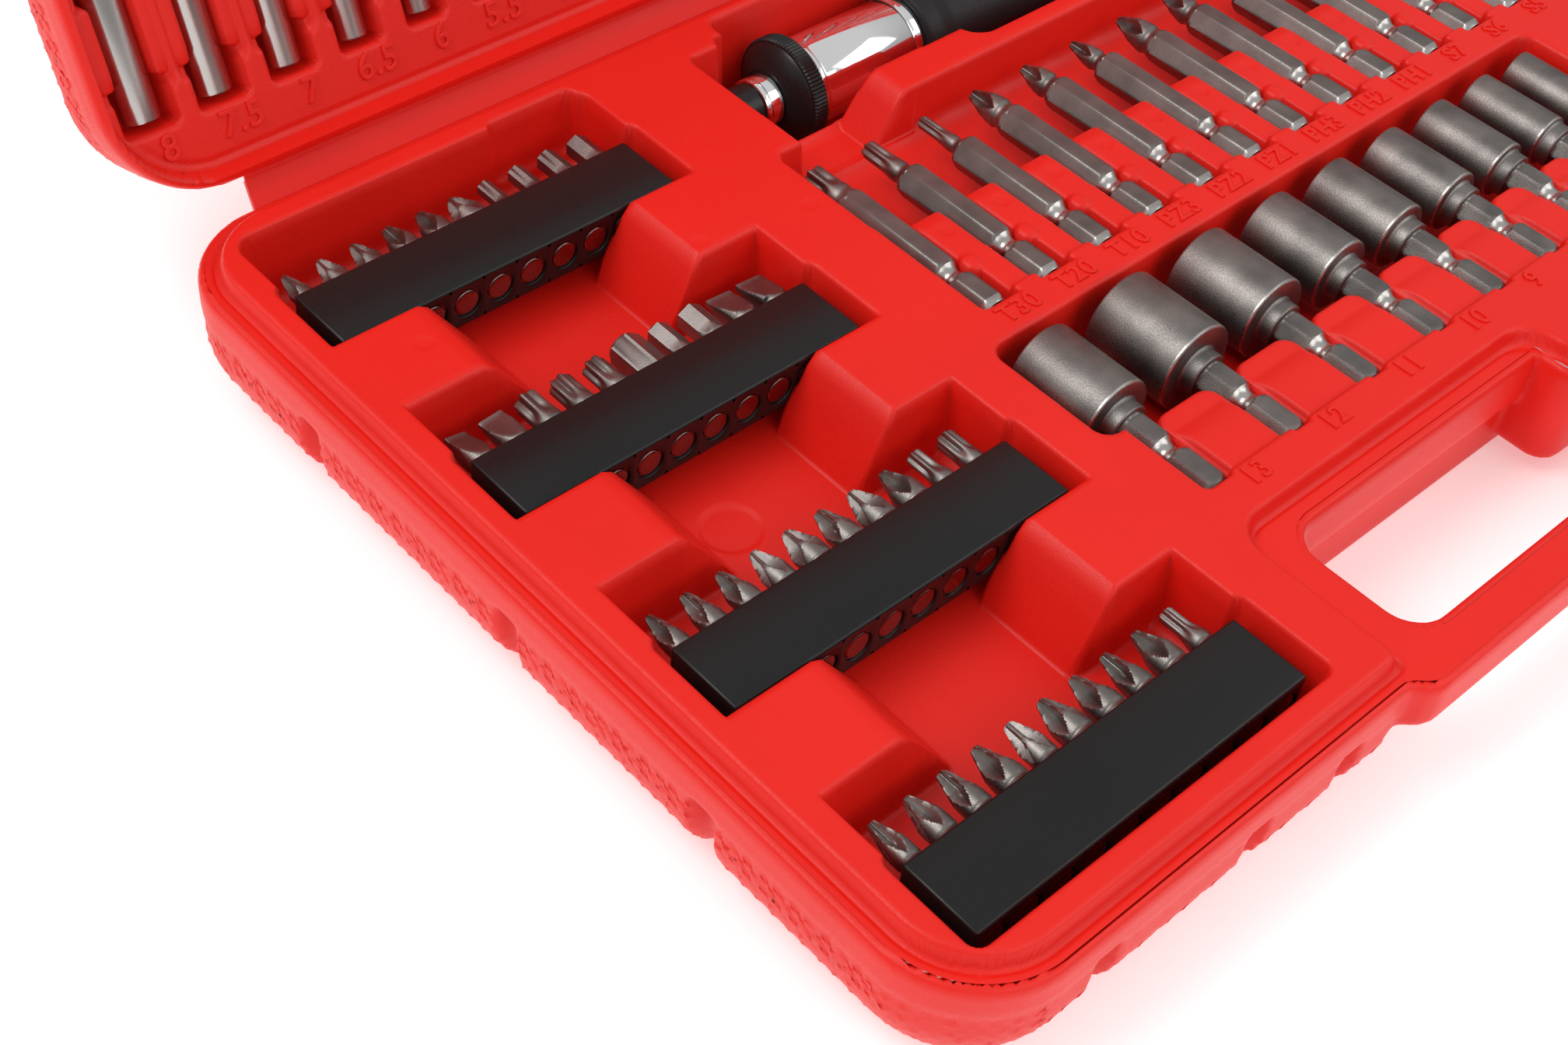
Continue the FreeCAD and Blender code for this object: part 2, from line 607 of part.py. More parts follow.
def grip():
    """Rubber handle, waisted near the body and domed at the end."""
    tip, holder, collar, ring, body, end = driver_stations()
    x0 = body
    profile = [Vector(x0, 0, 0), Vector(x0, 11.0, 0), Vector(x0 + 4, 11.6, 0)]
    swell = [(9, 9.8), (18, 10.6), (34, 12.6), (55, GRIP_R), (74, 12.4), (86, 10.6)]
    points = profile[2:] + [Vector(x0 + dx, r, 0) for dx, r in swell] + [Vector(end, 5.0, 0)]
    curve = Part.BSplineCurve()
    curve.interpolate(points)
    edges = [Part.makeLine(profile[0], profile[1]), Part.makeLine(profile[1], profile[2]),
             curve.toShape(), Part.makeLine(Vector(end, 5.0, 0), Vector(end, 0, 0)),
             Part.makeLine(Vector(end, 0, 0), profile[0])]
    solid = Part.Face(Part.Wire(edges)).revolve(Vector(0, 0, 0), RIGHT, 360)
    solid.translate(Vector(0, DRIVER_Y, DRIVER_Z))
    return solid.cut(cylinder(5.0, on_axis(end - 14), RIGHT, 20))


def end_cap():
    tip, holder, collar, ring, body, end = driver_stations()
    plug = cylinder(5.0, on_axis(end - 14), RIGHT, 14)
    return plug.makeFillet(1.0, [e for e in plug.Edges if e.BoundBox.XMin > end - 0.01])


# ---- sockets and extension bar ------------------------------------------------------------------------------
def socket_row(row):
    sockets = []
    for column, size in enumerate(SOCKET_ROWS[row]):
        diameter = socket_d(size)
        start = Vector(socket_x(column), socket_y(row) - SOCKET_LENGTH / 2,
                       SOCKET_FLOOR_Z + diameter / 2)
        body = cylinder(diameter / 2, start, BACK, SOCKET_LENGTH)
        mouth = hexagon(size, start + BACK * (SOCKET_LENGTH - 12), BACK, 14, UP)
        half = SQUARE_DRIVE / 2
        drive = block(start.x - half, start.x + half, start.y - 1, start.y + 9,
                      start.z - half, start.z + half)
        sockets.append(body.cut(mouth).cut(drive))
    return Part.makeCompound(sockets)


def extension_bar():
    """Square drive at one end, socket head at the other."""
    y = socket_y(len(SOCKET_ROWS))
    start = Vector(-BAR_CENTRE_X - EXTENSION_LENGTH / 2, y, SOCKET_FLOOR_Z + EXTENSION_HEAD_R)
    head = cylinder(EXTENSION_HEAD_R, start, RIGHT, 16)
    rod = cylinder(EXTENSION_R, start, RIGHT, EXTENSION_LENGTH - 8)
    half = SQUARE_DRIVE / 2
    tip = block(start.x + EXTENSION_LENGTH - 9, start.x + EXTENSION_LENGTH, y - half, y + half,
                start.z - half, start.z + half)
    drive = block(start.x - 1, start.x + 9, y - half, y + half, start.z - half, start.z + half)
    return fuse([head, rod, tip]).cut(drive)


# ---- drills, placed in the closed lid ------------------------------------------------------------------------
FRONT = Vector(0, -1, 0)


def twist_drill(index):
    size, length = TWIST_DRILLS[index]
    radius = size / 2
    end = Vector(DRILL_FIRST_X + index * DRILL_PITCH, FOLD_Y - DRILL_FOLD_GAP,
                 LID_DECK_Z + DRILL_SINK + radius)
    shank_length = length * 0.36
    point = radius * 0.6
    shank = cylinder(shank_radius(size), end, FRONT, shank_length)
    fluted = cylinder(radius, end + FRONT * shank_length, FRONT, length - shank_length - point)
    nose = cone(radius, radius * 0.1, end + FRONT * (length - point), FRONT, point)
    return fuse([shank, fluted, nose])


def twist_drills(first, last):
    return Part.makeCompound([twist_drill(k) for k in range(first, last)])


def masonry_drills():
    drills = []
    for index, (size, length) in enumerate(MASONRY_DRILLS):
        radius = size / 2
        end = Vector(MASONRY_FIRST_X + index * MASONRY_PITCH, FOLD_Y - DRILL_FOLD_GAP,
                     LID_DECK_Z + DRILL_SINK + radius)
        rod = cylinder(radius * 0.86, end, FRONT, length - 6)
        tip = block(end.x - radius, end.x + radius, end.y - length, end.y - length + 7,
                    end.z - radius * 0.3, end.z + radius * 0.3)
        drills.append(fuse([rod, tip]))
    return Part.makeCompound(drills)


def spade_bits():
    bits = []
    for index, (width, length) in enumerate(SPADE_BITS):
        end = Vector(SPADE_FIRST_X + index * SPADE_PITCH, FOLD_Y - DRILL_FOLD_GAP, LID_DECK_Z + 4.2)
        half = width / 2
        shank = hexagon(HEX_AF, end, FRONT, 25.0, UP)
        shaft = cylinder(SPADE_SHAFT_R, end, FRONT, length - SPADE_BLADE + 2)
        blade_start = end.y - length + SPADE_BLADE
        outline = [(end.x - half, blade_start), (end.x + half, blade_start),
                   (end.x + half, blade_start - SPADE_BLADE + 8), (end.x, end.y - length),
                   (end.x - half, blade_start - SPADE_BLADE + 8)]
        blade = polygon_prism(outline, end.z - SPADE_THICK / 2, end.z + SPADE_THICK / 2)
        bits.append(fuse([shank, shaft, blade]))
    return Part.makeCompound(bits)


# ---- stored pose ---------------------------------------------------------------------------------------------
def fold_strip(shape):
    """Strip turned about the fold at the base, by half of the opening angle."""
    shape.rotate(BASE_FOLD, RIGHT, -OPEN_ANGLE / 2)
    return shape


def open_lid(shape):
    """Lid turned twice by half the opening angle: about its own fold, then with the strip."""
    shape.rotate(LID_FOLD_CLOSED, RIGHT, -OPEN_ANGLE / 2)
    shape.rotate(BASE_FOLD, RIGHT, -OPEN_ANGLE / 2)
    return shape


def open_latch(shape):
    shape.rotate(Vector(0, LATCH_PIVOT_Y, LATCH_PIVOT_Z), RIGHT, LATCH_OPEN)
    return shape


def build():
    nodes = {
        "case_base": case_base(),
        "case_lid": open_lid(case_lid()),
        "hinge_strip": fold_strip(hinge_strip()),
        "latch": open_latch(latch()),
        "latch_pin": latch_pin(),
        "driver_bit_holder": bit_holder(),
        "driver_collar": spindle_collar(),
        "driver_selector_ring": selector_ring(),
        "driver_ratchet_body": ratchet_body(),
        "driver_ratchet_gear": ratchet_gear(),
        "driver_ratchet_pawls": ratchet_pawls(),
        "driver_grip": grip(),
        "driver_end_cap": end_cap(),
        "extension_bar": extension_bar(),
        "twist_drills_large": open_lid(twist_drills(0, 5)),
        "twist_drills_medium": open_lid(twist_drills(5, 10)),
        "twist_drills_small": open_lid(twist_drills(10, len(TWIST_DRILLS))),
        "masonry_drills": open_lid(masonry_drills()),
        "spade_bits": open_lid(spade_bits()),
    }
    for row in range(BAR_COUNT):
        nodes[f"bit_bar_{row + 1}"] = bit_bar(row)
        nodes[f"insert_bits_{row + 1}"] = bar_bits(row)
    for index, name in enumerate(POWER_NAMES):
        nodes[f"power_bit_{name}"] = power_bit(index)
    for index, x in enumerate(nut_positions()):
        nodes[f"nut_driver_{NUT_SIZES[index]}"] = nut_driver(index, x)
    for row in range(len(SOCKET_ROWS)):
        nodes[f"socket_row_{row + 1}"] = socket_row(row)
    return nodes


os.makedirs("parts", exist_ok=True)
for node_name, node_shape in build().items():
    node_shape.exportStep(f"parts/{node_name}.step")
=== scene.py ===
import json
import math

import bpy
import numpy as np
from mathutils import Matrix, Vector


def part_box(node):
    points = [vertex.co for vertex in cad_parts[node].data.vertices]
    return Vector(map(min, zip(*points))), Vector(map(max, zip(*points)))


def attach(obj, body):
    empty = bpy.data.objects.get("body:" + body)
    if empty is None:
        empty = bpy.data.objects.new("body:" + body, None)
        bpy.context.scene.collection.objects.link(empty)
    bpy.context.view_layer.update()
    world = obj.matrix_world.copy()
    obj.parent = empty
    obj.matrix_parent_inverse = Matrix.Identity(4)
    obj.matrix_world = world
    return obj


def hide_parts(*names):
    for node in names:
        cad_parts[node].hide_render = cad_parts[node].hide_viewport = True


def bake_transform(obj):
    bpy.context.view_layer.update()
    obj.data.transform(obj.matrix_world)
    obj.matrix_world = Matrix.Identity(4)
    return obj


# The looks of the open tool case: moulded halves, hinge, bit bars, bits, nut drivers,
# ratchet driver, sockets and drills. Shapes are worked out in millimetres.

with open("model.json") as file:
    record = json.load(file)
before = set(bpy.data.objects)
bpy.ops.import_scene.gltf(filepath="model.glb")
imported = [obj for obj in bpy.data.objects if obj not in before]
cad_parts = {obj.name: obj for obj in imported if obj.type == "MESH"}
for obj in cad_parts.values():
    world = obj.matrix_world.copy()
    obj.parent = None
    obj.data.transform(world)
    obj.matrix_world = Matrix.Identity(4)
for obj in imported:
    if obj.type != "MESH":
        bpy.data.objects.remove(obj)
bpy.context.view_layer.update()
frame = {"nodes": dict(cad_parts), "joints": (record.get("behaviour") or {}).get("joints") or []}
MM = 0.001
RNG = np.random.default_rng(7)


# ---- where the CAD says things are
def box_mm(node):
    lo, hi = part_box(node)
    return np.array(lo) / MM, np.array(hi) / MM


JOINTS = {j["name"]: j for j in frame["joints"]}


def turn_about(joint, degrees):
    """4x4 matrix of a turn about a hinge joint's line, in metres."""
    pos = Vector(JOINTS[joint]["pos_m"])
    turn = Matrix.Rotation(math.radians(degrees), 4, Vector(JOINTS[joint]["axis"]))
    return Matrix.Translation(pos) @ turn @ Matrix.Translation(-pos)


CLOSING = turn_about("strip_fold", JOINTS["strip_fold"]["range_deg"][0]) @ turn_about(
    "lid_fold", JOINTS["lid_fold"]["range_deg"][0])
OPENING = CLOSING.inverted()
STRIP_OPENING = turn_about("strip_fold", JOINTS["strip_fold"]["range_deg"][0]).inverted()


def closed_box(node, matrix=CLOSING):
    """Box of a lid node with the lid shut."""
    m = np.array(matrix)
    co = np.array([v.co for v in frame["nodes"][node].data.vertices])
    co = co @ m[:3, :3].T + m[:3, 3]
    return co.min(0) / MM, co.max(0) / MM


BASE_LO, BASE_HI = box_mm("case_base")
CASE_HALF = BASE_HI[0]                       # 206, half width
BACK = BASE_HI[1]                            # back wall
FRONT = -BACK                                # front wall, behind the handle's step
DECK = BASE_HI[2]                            # raised deck of the base
HALF_HEIGHT = DECK - 3.0
LID_HI = closed_box("case_lid")[1]
LID_TOP = LID_HI[2]


# ---- meshes
def add_mesh(name, verts, faces, material, body, slot=None, replaces=(), sharp=None,
             matrix=None, flip=False, accent=None, accent_faces=()):
    """A new piece from points in millimetres that rides on a CAD body."""
    pts = np.asarray(verts, float) * MM
    if matrix is not None:
        m = np.array(matrix)
        pts = pts @ m[:3, :3].T + m[:3, 3]
    if flip:
        faces = [list(f)[::-1] for f in faces]
    mesh = bpy.data.meshes.new(name)
    mesh.from_pydata(pts.tolist(), [], [list(f) for f in faces])
    mesh.polygons.foreach_set("use_smooth", [True] * len(mesh.polygons))
    if sharp:
        mesh.set_sharp_from_angle(angle=math.radians(sharp))
    mesh.materials.append(material)
    if accent is not None:
        mesh.materials.append(accent)
        for index in accent_faces:
            mesh.polygons[index].material_index = 1
    ob = bpy.data.objects.new(name, mesh)
    bpy.context.scene.collection.objects.link(ob)
    if body:
        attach(ob, body)
    if replaces:
        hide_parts(*replaces)
    return ob


class Bundle:
    """Collects several closed shapes into one mesh."""

    def __init__(self):
        self.verts, self.faces, self.count = [], [], 0

    def add(self, verts, faces):
        verts = np.asarray(verts, float)
        self.verts.append(verts)
        self.faces.extend([[i + self.count for i in f] for f in faces])
        self.count += len(verts)

    def make(self, name, material, body, **more):
        return add_mesh(name, np.vstack(self.verts), self.faces, material, body, **more)


def ring_faces(rings, n):
    """Quads between successive rings of n points."""
    faces = []
    for a in range(0, (rings - 1) * n, n):
        for k in range(n):
            k1 = (k + 1) % n
            faces.append((a + k, a + k1, a + n + k1, a + n + k))
    return faces


def place(points, origin, along, up=(0, 0, 1)):
    """Points with x across, y along and z up, moved to an origin and direction."""
    y = np.array(along, float)
    y /= np.linalg.norm(y)
    z = np.array(up, float)
    z -= y * (z @ y)
    z /= np.linalg.norm(z)
    x = np.cross(y, z)
    return np.asarray(origin, float) + points @ np.array([x, y, z])


def faces_between(stations, n, *spans):
    """Numbers of the side faces whose station lies in one of the spans along the axis."""
    found = []
    for k, (s, _) in enumerate(stations[:-1]):
        if any(a <= s <= b for a, b in spans):
            found += range(k * n, (k + 1) * n)
    return found


SAMPLES = 72
THETA = np.arange(SAMPLES) * 2 * math.pi / SAMPLES


def shaft(stations, origin, along, up=(0, 0, 1), turn=0.0, n=SAMPLES):
    """A closed shape round an axis. Each station is (distance along it, radius or radii)."""
    theta = np.arange(n) * 2 * math.pi / n
    rings = []
    for s, r in stations:
        r = np.broadcast_to(np.asarray(r, float), (n,))
        rings.append(np.stack([r * np.cos(theta + turn), np.full(n, s), r * np.sin(theta + turn)], 1))
    verts = place(np.vstack(rings), origin, along, up)
    faces = ring_faces(len(rings), n)
    faces.append(tuple(range(n))[::-1])
    last = (len(rings) - 1) * n
    faces.append(tuple(range(last, last + n)))
    return verts, [f[::-1] for f in faces]


def hex_radii(across, clip=1e9):
    """Radii of a hexagon with flats at top and bottom, its corners cut to `clip`."""
    a = np.mod(THETA - math.pi / 2 + math.pi / 6, math.pi / 3) - math.pi / 6
    return np.minimum(across / 2 / np.cos(a), clip)


def smooth_min(a, b, k):
    h = np.maximum(k - np.abs(a - b), 0) / k
    return np.minimum(a, b) - h * h * k / 4


def smooth_max(a, b, k):
    return -smooth_min(-a, -b, k)


def ramp(x, lo, hi):
    t = np.clip((x - lo) / (hi - lo), 0, 1)
    return t * t * (3 - 2 * t)


# ---- materials
def new_material(name, color, metallic, roughness):
    mat = bpy.data.materials.new(name)
    mat.use_nodes = True
    tree = mat.node_tree
    shader = tree.nodes["Principled BSDF"]
    shader.inputs["Base Color"].default_value = (*color, 1)
    shader.inputs["Metallic"].default_value = metallic
    shader.inputs["Roughness"].default_value = roughness
    return mat, tree, shader


def object_noise(tree, scale, detail=2.0):
    coords = tree.nodes.new("ShaderNodeTexCoord")
    noise = tree.nodes.new("ShaderNodeTexNoise")
    noise.inputs["Scale"].default_value = scale
    noise.inputs["Detail"].default_value = detail
    tree.links.new(coords.outputs["Object"], noise.inputs["Vector"])
    return noise.outputs["Fac"]


NOISE_LOW, NOISE_HIGH = 0.3, 0.7              # the part of a noise's range that is used


def spread(tree, value, low, high):
    node = tree.nodes.new("ShaderNodeMapRange")
    node.inputs["From Min"].default_value = NOISE_LOW
    node.inputs["From Max"].default_value = NOISE_HIGH
    node.inputs["To Min"].default_value = low
    node.inputs["To Max"].default_value = high
    tree.links.new(value, node.inputs["Value"])
    return node.outputs["Result"]


def color_between(tree, value, one, two, start=NOISE_LOW, stop=NOISE_HIGH):
    node = tree.nodes.new("ShaderNodeValToRGB")
    for element, position, color in zip(node.color_ramp.elements, (start, stop), (one, two)):
        element.position, element.color = position, (*color, 1)
    tree.links.new(value, node.inputs["Fac"])
    return node.outputs["Color"]


def bump(tree, shader, heights, strength, distance):
    node = tree.nodes.new("ShaderNodeBump")
    node.inputs["Strength"].default_value = strength
    node.inputs["Distance"].default_value = distance
    tree.links.new(heights, node.inputs["Height"])
    tree.links.new(node.outputs["Normal"], shader.inputs["Normal"])


def plastic(name, color, darker, roughness, grain, strength):
    mat, tree, shader = new_material(name, color, 0.0, roughness)
    broad = object_noise(tree, 35.0, 3.0)
    tree.links.new(color_between(tree, broad, darker, color), shader.inputs["Base Color"])
    fine = object_noise(tree, grain)
    tree.links.new(spread(tree, fine, roughness - 0.05, roughness + 0.07), shader.inputs["Roughness"])
    shader.inputs["Specular IOR Level"].default_value = 0.32
    bump(tree, shader, fine, strength, 0.0002)
    return mat


def metal(name, color, darker, roughness, grain, strength, vary=0.08):
    mat, tree, shader = new_material(name, color, 1.0, roughness)
    broad = object_noise(tree, 140.0, 3.0)
    tree.links.new(color_between(tree, broad, darker, color), shader.inputs["Base Color"])
    fine = object_noise(tree, grain)
    tree.links.new(spread(tree, fine, roughness - vary, roughness + vary), shader.inputs["Roughness"])
    bump(tree, shader, fine, strength, 0.0001)
    return mat


RED = (0.80, 0.014, 0.007)
RED_DARK = (0.76, 0.012, 0.006)
red = plastic("red_moulded_plastic", RED, RED_DARK, 0.42, 2600.0, 0.22)
red_gloss = plastic("red_hinge_plastic", RED, RED_DARK, 0.34, 1800.0, 0.10)
black_bar = plastic("black_bar_plastic", (0.008, 0.007, 0.007), (0.006, 0.006, 0.006), 0.34, 900.0, 0.05)
black_ring = plastic("black_ring_plastic", (0.012, 0.012, 0.012), (0.009, 0.009, 0.009), 0.3, 900.0, 0.05)
rubber = plastic("grip_rubber", (0.013, 0.013, 0.014), (0.009, 0.009, 0.010), 0.5, 3200.0, 0.35)
bit_steel = metal("bit_steel", (0.27, 0.245, 0.23), (0.18, 0.165, 0.155), 0.40, 5200.0, 0.35)
nut_steel = metal("nut_driver_steel", (0.27, 0.245, 0.23), (0.155, 0.145, 0.138), 0.42, 4200.0, 0.45)
bright_steel = metal("bright_steel", (0.50, 0.48, 0.46), (0.42, 0.40, 0.38), 0.27, 3000.0, 0.1)
drill_steel = metal("drill_steel", (0.47, 0.445, 0.425), (0.45, 0.425, 0.405), 0.22, 2500.0, 0.02, vary=0.02)
nickel = metal("bit_end_nickel", (0.22, 0.17, 0.155), (0.17, 0.13, 0.12), 0.22, 2500.0, 0.1)
chrome = metal("polished_chrome", (0.86, 0.86, 0.87), (0.84, 0.84, 0.85), 0.07, 200.0, 0.02, vary=0.02)
satin_chrome = metal("satin_chrome", (0.66, 0.66, 0.67), (0.58, 0.58, 0.59), 0.24, 2600.0, 0.12)
carbide = metal("masonry_tip", (0.40, 0.33, 0.22), (0.30, 0.25, 0.18), 0.4, 3000.0, 0.3)


# ---- the outline of a half, seen from above
HANDLE_HALF = 106.0
OPENING_HALF = 96.0
OPENING_FRONT = FRONT + 6.1
OPENING_BACK = -70.0
NOTCH_HALF = 104.0
NOTCH_BACK = -65.4
LATCH_BLOCK_HALF = 22.0
LATCH_BLOCK_FRONT = -80.0
CORNER_R = 20.0
LEDGE = 3.5                                  # flat rim between the wall and the raised deck
RIM_R = 1.6                                  # rounding of the rim's outer edge
HANDLE_UNDER = HALF_HEIGHT - 12.0
BLOCK_UNDER = 4.0                            # underside of the latch block


def round_corner(qx, qy, r):
    """Distance to two faces that meet in a corner of radius r; qx and qy are measured from its centre."""
    return np.minimum(np.maximum(qx, qy), 0) + np.hypot(np.maximum(qx, 0), np.maximum(qy, 0)) - r


def sd_box(x, y, x0, x1, y0, y1, r):
    """Distance outside a rectangle with rounded corners, negative inside."""
    qx = np.abs(x - (x0 + x1) / 2) - (x1 - x0) / 2 + r
    qy = np.abs(y - (y0 + y1) / 2) - (y1 - y0) / 2 + r
    return round_corner(qx, qy, r)


def sd_handle(x, y):
    """The handle bar's outline, up to the body of the case."""
    return sd_box(x, y, -HANDLE_HALF, HANDLE_HALF, BASE_LO[1], OPENING_BACK + 10, 6.0)


def sd_hole(x, y):
    """The finger opening, before the latch block closes its middle."""
    return sd_box(x, y, -OPENING_HALF, OPENING_HALF, OPENING_FRONT, OPENING_BACK, 7.0)


def sd_case(x, y):
    return sd_box(x, y, -CASE_HALF, CASE_HALF, FRONT, BACK, CORNER_R)


def sd_opening(x, y):
    block = sd_box(x, y, -LATCH_BLOCK_HALF, LATCH_BLOCK_HALF, LATCH_BLOCK_FRONT, 0, 5.0)
    return np.maximum(sd_hole(x, y), -block)


def sd_top(x, y):
    """Outline of the flat rim with the handle, less the finger opening."""
    return np.maximum(smooth_min(sd_case(x, y), sd_handle(x, y), 3.0), -sd_opening(x, y))


def sd_deck(x, y, grow=0.0):
    """Outline of the raised deck, which stops short of the handle."""
    deck = sd_case(x, y) + LEDGE
    notch = sd_box(x, y, -NOTCH_HALF, NOTCH_HALF, FRONT - 30, NOTCH_BACK, 6.0)
    whole = smooth_max(deck, -notch, 2.5)
    tongue = sd_box(x, y, -LATCH_BLOCK_HALF + 2, LATCH_BLOCK_HALF - 2, LATCH_BLOCK_FRONT + 4, -50, 4.0)
    return smooth_min(whole, tongue, 8.0) - grow


def wall_profile(depth, draft, r_top, r_bottom):
    """(distance inside the outline, height) of a moulded wall with rounded ends."""
    sweep = math.pi / 2 - math.atan(draft)
    a, b = r_top * math.tan(sweep / 2), r_bottom * math.tan(sweep / 2)
    angles = np.linspace(0, sweep, 5)
    end = depth * draft + b
    t = np.concatenate([-a + r_top * np.sin(angles), end - r_bottom * np.sin(angles[::-1])])
    z = np.concatenate([-r_top * (1 - np.cos(angles)), -depth + r_bottom * (1 - np.cos(angles[::-1]))])
    return t, z


def without_spares(verts, quads):
    """The points that the faces use, and the faces renumbered to them."""
    used = np.unique(quads)
    renumber = np.full(len(verts), -1)
    renumber[used] = np.arange(len(used))
    return verts[used], renumber[quads].tolist()


WIDEST_CELL = 2.6


class Relief:
    """A height over the plan, made of hollows and blocks, with grid lines at their edges."""

    def __init__(self, ground):
        self.steps, self.edges, self.ground = [], [], ground
        self.finest = 0.26

    def note(self, box, r, t, sign):
        x0, x1, y0, y1 = box
        lines = np.concatenate([t * sign, [0.4 * r, 0.8 * r, 1.2 * r]]) if r > 1.5 else t * sign
        self.edges.append((box, x0 + lines, x1 - lines, y0 + lines, y1 - lines))

    def hollow(self, x0, x1, y0, y1, floor, top=None, r=3.0, draft=0.07, r_top=1.0, r_bottom=1.6):
        top = DECK if top is None else top
        depth = top - floor
        t, z = wall_profile(depth, draft, r_top, min(r_bottom, depth * 0.6))
        self.note((x0, x1, y0, y1), r, t, 1)

        def step(x, y, h):
            inside = -sd_box(x, y, x0, x1, y0, y1, r)
            return np.minimum(h, top + np.interp(inside, t, z))
        self.steps.append(step)

    def block(self, x0, x1, y0, y1, top, floor, r=3.0, draft=0.07, r_top=1.0, r_bottom=1.2, slope=None):
        depth = top - floor
        t, z = wall_profile(depth, draft, r_top, min(r_bottom, depth * 0.6))
        self.note((x0, x1, y0, y1), r, t, -1)

        def step(x, y, h):
            outside = sd_box(x, y, x0, x1, y0, y1, r)
            raised = top + np.interp(outside, t, z)
            if slope is not None:
                raised = smooth_min(raised, slope(x, y), 2.2)
            return np.maximum(h, np.where(outside < t[-1], raised, -99))
        self.steps.append(step)

    def dish(self, cx, cy, radius, depth):
        box = (cx - radius, cx + radius, cy - radius, cy + radius)
        f = np.linspace(-0.5, radius, 12)
        self.edges.append((box, box[0] + f, box[1] - f, box[2] + f, box[3] - f))

        def step(x, y, h):
            return h - depth * (1 - ramp(np.hypot(x - cx, y - cy), radius - 0.6, radius))
        self.steps.append(step)

    def heights(self, x, y):
        h = self.ground(x, y)
        for step in self.steps:
            h = step(x, y, h)
        return h

    def grid(self, lo, hi, axis, across, extra=()):
        """Grid lines between lo and hi that follow the edges crossing this tile."""
        found = [lo, hi, *extra]
        for box, x0, x1, y0, y1 in self.edges:
            own = (box[0], box[1]) if axis == 0 else (box[2], box[3])
            other = (box[2], box[3]) if axis == 0 else (box[0], box[1])
            if own[1] < lo - 3 or own[0] > hi + 3 or other[1] < across[0] - 3 or other[0] > across[1] + 3:
                continue
            found += list(x0) + list(x1) if axis == 0 else list(y0) + list(y1)
        found = sorted(v for v in found if lo <= v <= hi)
        kept = [found[0]]
        for v in found[1:]:
            if v - kept[-1] >= self.finest:
                kept.append(v)
        kept[-1] = hi
        full = [kept[0]]
        for v in kept[1:]:
            start, gap = full[-1], v - full[-1]
            parts = int(math.ceil(gap / WIDEST_CELL))
            full += [start + gap * (k + 1) / parts for k in range(parts)]
        return np.array(full)

    def tiles(self, bounds, extra_x=(), extra_y=(), margin=1.5):
        """Meshes the relief tile by tile, up to a margin inside the rim's outline."""
        bundle = Bundle()
        for x0, x1, y0, y1 in bounds:
            xs = self.grid(x0, x1, 0, (y0, y1), [v for v in extra_x if x0 < v < x1])
            ys = self.grid(y0, y1, 1, (x0, x1), [v for v in extra_y if y0 < v < y1])
            gx, gy = np.meshgrid(xs, ys, indexing="ij")
            good = sd_top(gx, gy) < -margin
            for _ in range(2):                # points outside slide in to the edge of the deck's skin
                slide = np.where(good, 0.0, sd_top(gx, gy) + margin)
                along_x = (sd_top(gx + 0.05, gy) - sd_top(gx - 0.05, gy)) / 0.1
                along_y = (sd_top(gx, gy + 0.05) - sd_top(gx, gy - 0.05)) / 0.1
                gx, gy = gx - slide * along_x, gy - slide * along_y
            ids = np.arange(gx.size).reshape(gx.shape)
            keep = good[:-1, :-1] | good[1:, :-1] | good[1:, 1:] | good[:-1, 1:]
            quads = np.stack([ids[:-1, :-1], ids[1:, :-1], ids[1:, 1:], ids[:-1, 1:]], -1)[keep]
            bundle.add(*without_spares(np.stack([gx, gy, self.heights(gx, gy)], -1).reshape(-1, 3), quads))
        return bundle


def lines_between(*spans):
    """Evenly spaced extra grid lines: (start, stop, step) each."""
    found = []
    for start, stop, step in spans:
        found += list(np.arange(start, stop, step))
    return found


# finer lines where the outline's corners are
CORNER_LINES_X = lines_between((-206, -186, 0.8), (186, 206, 0.8), (-110, -88, 0.8), (88, 110, 0.8),
                               (-32, -14, 0.8), (14, 32, 0.8))
CORNER_LINES_Y = lines_between((-107, -84, 0.8), (-84, -62, 0.7), (84, 104, 0.8))


# ---- outside of a half: wall, underside, handle bar, latch block
SIDE_GROOVES = (56.0, 1.0, -47.0)
END_GROOVES = (-176.0, -141.0, -118.0)
BACK_GROOVES = (-60.0, 0.0, 60.0)
WALL_BAND = 6.5                               # smooth band above the textured panels


def groove_masks(x, y):
    """1 in the grooves between the wall's panels, 0 on the panels."""
    side = np.abs(x) > CASE_HALF - 14
    end = (np.abs(y) > BACK - 14) & ~side
    depth = np.zeros_like(x)
    cuts = ([(side, y - g) for g in SIDE_GROOVES] + [(end, x - s * g) for g in END_GROOVES for s in (-1, 1)]
            + [(end & (y > 0), x - g) for g in BACK_GROOVES])
    for where, off in cuts:
        depth = np.maximum(depth, np.where(where, 1 - ramp(np.abs(off), 1.1, 3.1), 0))
    return depth


